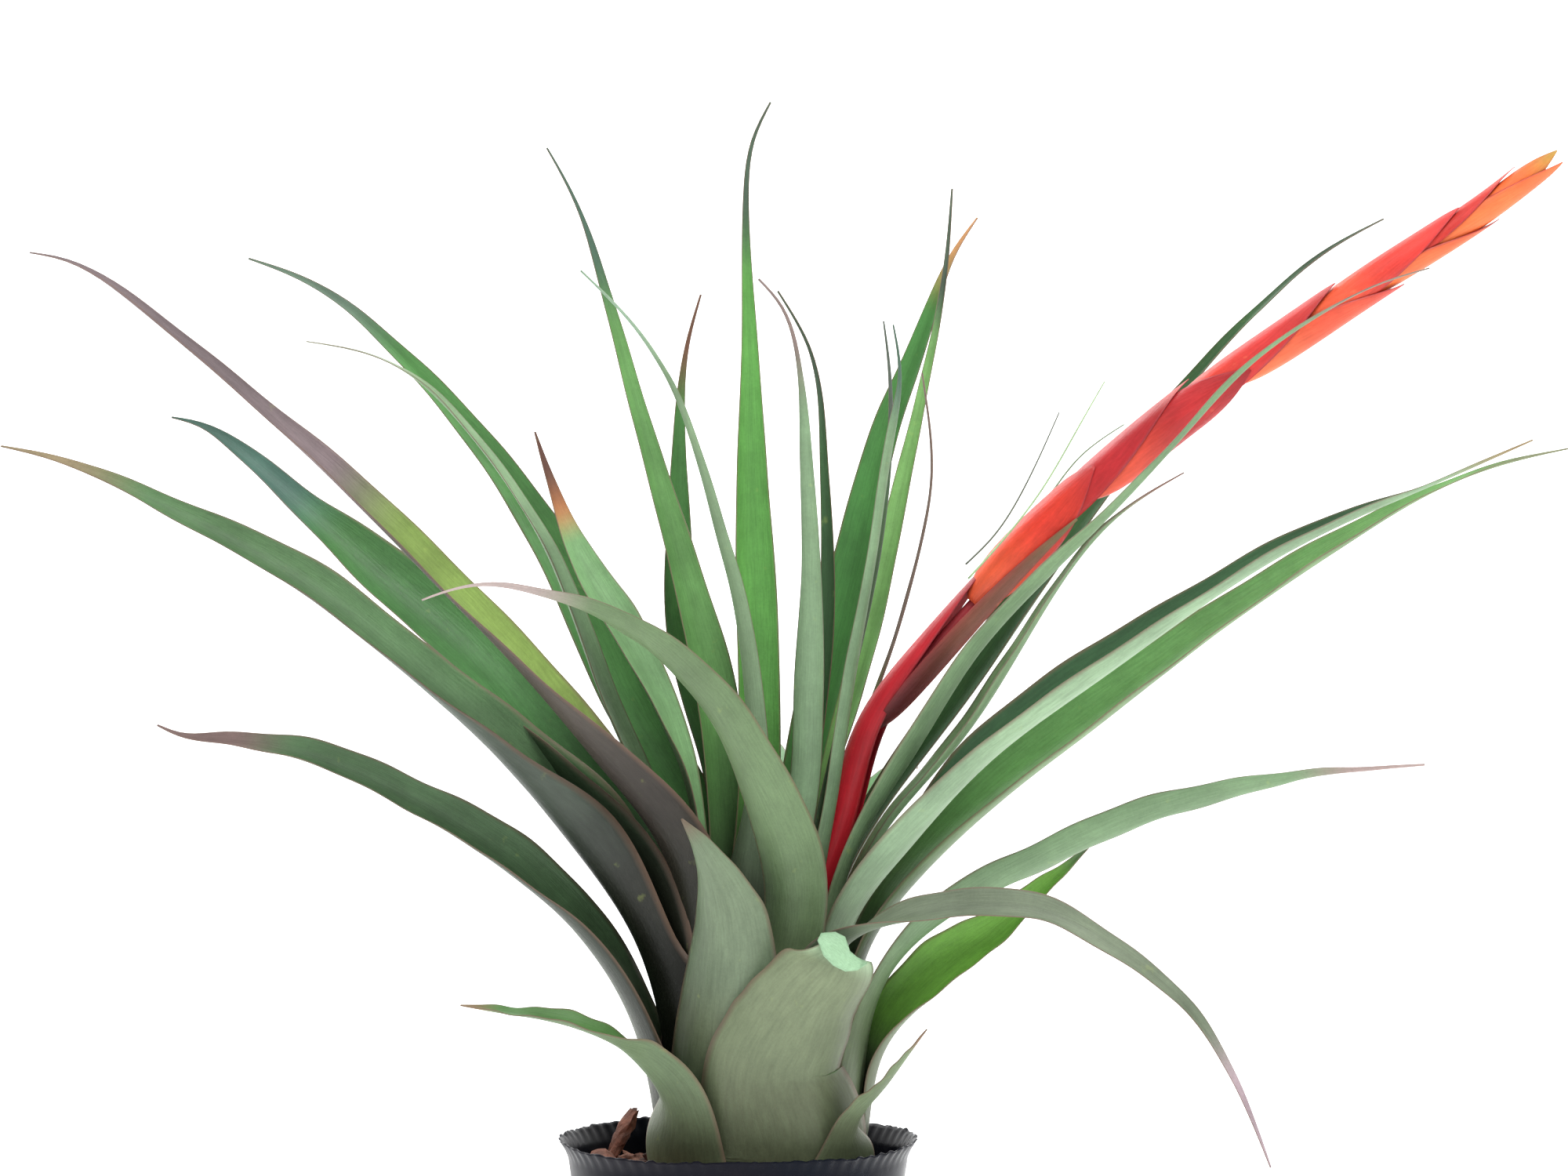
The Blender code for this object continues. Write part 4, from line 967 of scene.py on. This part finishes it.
def build_pot(look):
    """Thin pot with a ridge and a flared lip that is crimped and roughly cut."""
    lip_foot = POT_HEIGHT - LIP_HEIGHT
    ridge = POT_HEIGHT - RIDGE_DROP
    outer = [(FOOT_RADIUS - 2.0, 0.0), (FOOT_RADIUS - 0.6, 0.35), (wall_radius(2.0), 2.0)]
    outer += [(wall_radius(z), z) for z in np.linspace(8.0, ridge - 1.0, 16)]
    outer += [(wall_radius(ridge) + 0.5, ridge), (wall_radius(ridge) + 1.15, ridge + 0.9),
              (wall_radius(ridge) + 1.15, ridge + 1.8), (wall_radius(ridge + 3.0), ridge + 2.9)]
    outer += [(wall_radius(z), z) for z in np.linspace(ridge + 5.0, lip_foot, 6)]
    steps = 9
    for i in range(1, steps + 1):
        share = i / steps
        swing = (RIM_RADIUS - wall_radius(lip_foot)) * share ** 1.6
        outer.append((wall_radius(lip_foot) + swing, lip_foot + (LIP_HEIGHT - 0.2) * share))
    inner = [(radius - WALL, z + 0.15) for radius, z in outer[::-1][1:] if z > 4.0]
    inner.append((wall_radius(FLOOR) - WALL, FLOOR))
    profile = outer + [(RIM_RADIUS - 0.5, POT_HEIGHT + 0.05)] + inner
    sides = 288
    angles = np.linspace(0, 2 * math.pi, sides, endpoint=False)
    rng = np.random.default_rng(7)
    cut_line = np.repeat(rng.normal(0, 1.0, sides // 2), 2)
    cut_line = 0.35 * cut_line + 0.25 * rng.normal(0, 1.0, sides)
    points = []
    for radius, z in profile:
        lip = float(ramp(lip_foot - 1.0, POT_HEIGHT, z))
        crimp = 0.32 * lip * np.sin(angles * 72.0)
        sway = 0.5 * float(ramp(60.0, 120.0, z)) * (np.sin(angles * 3.0 + 0.6)
                                                    + 0.6 * np.sin(angles * 5.0 + 2.0))
        edge = float(ramp(0.9, 1.0, lip))
        r = radius + crimp + sway - 0.5 * edge + 0.2 * edge * cut_line
        level = z + lip * (0.5 * np.sin(angles * 4.0 + 1.0)) + edge * (0.8 * cut_line - 0.5)
        points.append(np.stack([r * np.cos(angles), r * np.sin(angles), level], 1))
    verts = np.concatenate(points)
    faces = ring_faces(len(profile), sides)
    verts = np.concatenate([verts, [(0.0, 0.0, 0.0), (0.0, 0.0, FLOOR)]])
    under = len(verts) - 2
    last = (len(profile) - 1) * sides
    for j in range(sides):
        k = (j + 1) % sides
        faces.append((under, k, j))
        faces.append((under + 1, last + j, last + k))
    mesh = smooth_mesh("pot", verts, faces)
    made = place("look_pot", mesh, look, "pot", "pot")
    drill_pot(made)


def drill_pot(pot):
    """Drain holes near the edge of the pot's underside."""
    for i in range(DRAIN_HOLES):
        angle = 2 * math.pi * (i + DRAIN_TURN) / DRAIN_HOLES
        spot = (DRAIN_CIRCLE * math.cos(angle) * MM, DRAIN_CIRCLE * math.sin(angle) * MM, 0.0)
        bpy.ops.mesh.primitive_cylinder_add(vertices=32, radius=DRAIN_RADIUS * MM,
                                            depth=8.0 * MM, location=spot)
        tool = bpy.context.object
        step = pot.modifiers.new("drain", "BOOLEAN")
        step.operation = "DIFFERENCE"
        step.solver = "EXACT"
        step.object = tool
        bpy.context.view_layer.objects.active = pot
        with bpy.context.temp_override(object=pot, active_object=pot):
            bpy.ops.object.modifier_apply(modifier=step.name)
        bpy.data.objects.remove(tool, do_unlink=True)


# ---- bark ----

def chip_points(rng, length, width, thickness):
    """One ragged bark chip about its own middle."""
    along, around = 7, 10
    points = []
    for i in range(along + 1):
        share = i / along
        taper = (0.35 + 0.65 * math.sin(math.pi * (0.12 + 0.76 * share))) * rng.uniform(0.85, 1.1)
        for j in range(around):
            angle = 2 * math.pi * j / around
            ragged = rng.uniform(0.8, 1.15)
            points.append(((share - 0.5) * length + rng.uniform(-0.05, 0.05) * length,
                           0.5 * width * taper * ragged * math.cos(angle),
                           0.5 * thickness * taper * ragged * math.sin(angle)))
    faces = []
    for i in range(along):
        for j in range(around):
            k = (j + 1) % around
            faces.append((i * around + j, (i + 1) * around + j, (i + 1) * around + k, i * around + k))
    faces.append(tuple(range(around)))
    faces.append(tuple(along * around + j for j in range(around - 1, -1, -1)))
    return np.array(points), faces


def turned(points, turn, tilt, spin):
    """Points rolled about X by spin, tipped about Y by tilt, then turned about Z."""
    x, y, z = points.T
    y, z = y * math.cos(spin) - z * math.sin(spin), y * math.sin(spin) + z * math.cos(spin)
    x, z = x * math.cos(tilt) + z * math.sin(tilt), -x * math.sin(tilt) + z * math.cos(tilt)
    x, y = x * math.cos(turn) - y * math.sin(turn), x * math.sin(turn) + y * math.cos(turn)
    return np.stack([x, y, z], 1)


def bark_mesh(name, clumps):
    """Joins clumps of (points, faces, colour) into one mesh."""
    verts = []
    faces = []
    tints = []
    for points, shape, color in clumps:
        start = sum(len(part) for part in verts)
        verts.append(points)
        faces += [tuple(start + corner for corner in face) for face in shape]
        tints.append(np.tile((*linear(color), 1.0), (len(points), 1)))
    mesh = bpy.data.meshes.new(name)
    mesh.from_pydata((np.concatenate(verts) * MM).tolist(), [], faces)
    tint = np.concatenate(tints)
    mesh.attributes.new("tint", "FLOAT_COLOR", "POINT").data.foreach_set("color", tint.ravel())
    return mesh


def build_bark(look):
    rng = random.Random(11)
    tones = [(120, 70, 48), (146, 92, 66), (92, 56, 42), (160, 108, 80), (74, 48, 40)]
    clumps = []
    bed_low, bed_top = FLOOR + 0.4, BARK_TOP - 3.0
    rings = [(0.0, bed_low), (wall_radius(bed_low) - 2.0, bed_low),
             (wall_radius(bed_top) - 2.0, bed_top), (58.0, bed_top + 1.0), (WELL_RADIUS, bed_top),
             (WELL_RADIUS, 98.0), (0.0, 98.0)]
    sides = 60
    points = []
    for radius, z in rings:
        shift = PLANT_X if radius <= WELL_RADIUS and z > bed_low + 1.0 else 0.0
        for i in range(sides):
            angle = 2 * math.pi * i / sides
            points.append((shift + radius * math.cos(angle), radius * math.sin(angle), z))
    clumps.append((np.array(points), ring_faces(len(rings), sides), (60, 40, 34)))
    placed = 0
    while placed < 170:
        angle = rng.uniform(0, 2 * math.pi)
        radius = rng.uniform(44.0, 66.0)
        x, y = radius * math.cos(angle), radius * math.sin(angle)
        length, width = rng.uniform(9, 20), rng.uniform(5, 9)
        reach = 0.5 * length
        if math.hypot(x - PLANT_X, y) < WELL_RADIUS + 0.45 * reach or radius + reach > 65.5:
            continue
        shape, faces = chip_points(rng, length, width, rng.uniform(2.5, 4.5))
        shape = turned(shape, rng.uniform(0, 6.28), rng.uniform(-0.35, 0.35), rng.uniform(-0.6, 0.6))
        shape += np.array((x, y, BARK_TOP - 2.0 + rng.uniform(0.0, 5.0)))
        clumps.append((shape, faces, rng.choice(tones)))
        placed += 1
    place("look_bark_bed", bark_mesh("bark_bed", clumps), look, "bark", "bark_bed")
    for name, x, y, z, length, width, thickness, turn, tilt in CHIPS:
        shape, faces = chip_points(rng, length * 0.96, width, thickness)
        shape = turned(shape, math.radians(turn), -math.radians(tilt), 0.0)
        shape += np.array((x, y, z))
        mesh = bark_mesh(name, [(shape, faces, (122, 72, 52))])
        place("look_" + name, mesh, look, "bark", name)


# ---- stage, light and camera ----

def white_plane(name, size, place_at, turn, white, glow):
    """Staged white plane that glows a little, so it stays white without hard lamps."""
    bpy.ops.mesh.primitive_plane_add(size=size, location=place_at, rotation=turn)
    plane = bpy.context.object
    plane.name = name
    made, shader, add, join = new_material(name + "_white")
    shader.inputs["Base Color"].default_value = (white, white, white, 1.0)
    shader.inputs["Emission Color"].default_value = (1.0, 1.0, 1.0, 1.0)
    shader.inputs["Emission Strength"].default_value = glow
    plane.data.materials.append(made)
    return shader


def build_stage():
    """White floor and backdrop, a soft white world and two large lamps."""
    shader = white_plane("floor", 400.0, (0.0, 0.0, 0.0), (0.0, 0.0, 0.0), 0.95, FLOOR_GLOW)
    shader.inputs["Roughness"].default_value = 0.9
    world = bpy.data.worlds.new("white_room")
    bpy.context.scene.world = world
    world.use_nodes = True
    background = world.node_tree.nodes["Background"]
    background.inputs[0].default_value = (1.0, 1.0, 1.0, 1.0)
    background.inputs[1].default_value = WORLD_LIGHT
    white_plane("backdrop", 60.0, (0.0, 12.0, 0.0), (math.radians(90.0), 0.0, 0.0), 0.9,
                BACKDROP_GLOW)
    for name, spot, size, power in LAMPS:
        data = bpy.data.lights.new(name, "AREA")
        data.size = size
        data.energy = power
        lamp = bpy.data.objects.new(name, data)
        lamp.location = spot
        aim = np.array(LAMP_AIM) - np.array(spot)
        lamp.rotation_euler = (math.acos(-aim[2] / np.linalg.norm(aim)), 0.0,
                               math.atan2(aim[0], -aim[1]) + math.pi)
        bpy.context.scene.collection.objects.link(lamp)


def build_camera():
    data = bpy.data.cameras.new("camera")
    data.lens = LENS
    data.sensor_width = SENSOR
    camera = bpy.data.objects.new("camera", data)
    camera.location = CAMERA_PLACE
    camera.rotation_euler = (math.radians(90.0), 0.0, 0.0)
    bpy.context.scene.collection.objects.link(camera)
    bpy.context.scene.camera = camera
    bpy.context.scene.view_settings.view_transform = "Standard"


def main():
    build_camera()
    build_stage()
    leaf_look = tissue_material("leaf", 16.0, (0.42, 0.50, 0.12, 1.0), (0.16, 0.10, 0.07, 1.0),
                                0.48, 0.35, 0.06)
    bract_look = tissue_material("bract", 14.0, (0.90, 0.30, 0.12, 1.0), (0.30, 0.04, 0.05, 1.0),
                                 0.40, 0.28, 0.03)
    build_leaves(leaf_look)
    build_spike(bract_look, leaf_look)
    build_pot(pot_material())
    bark_look = bark_material()
    build_bark(bark_look)
    stock = frame["nodes"]["rootstock"]
    stock.data.materials.clear()
    stock.data.materials.append(bark_look)
    tint = np.tile((*linear((110, 84, 60)), 1.0), (len(stock.data.vertices), 1))
    stock.data.attributes.new("tint", "FLOAT_COLOR", "POINT").data.foreach_set("color", tint.ravel())


main()
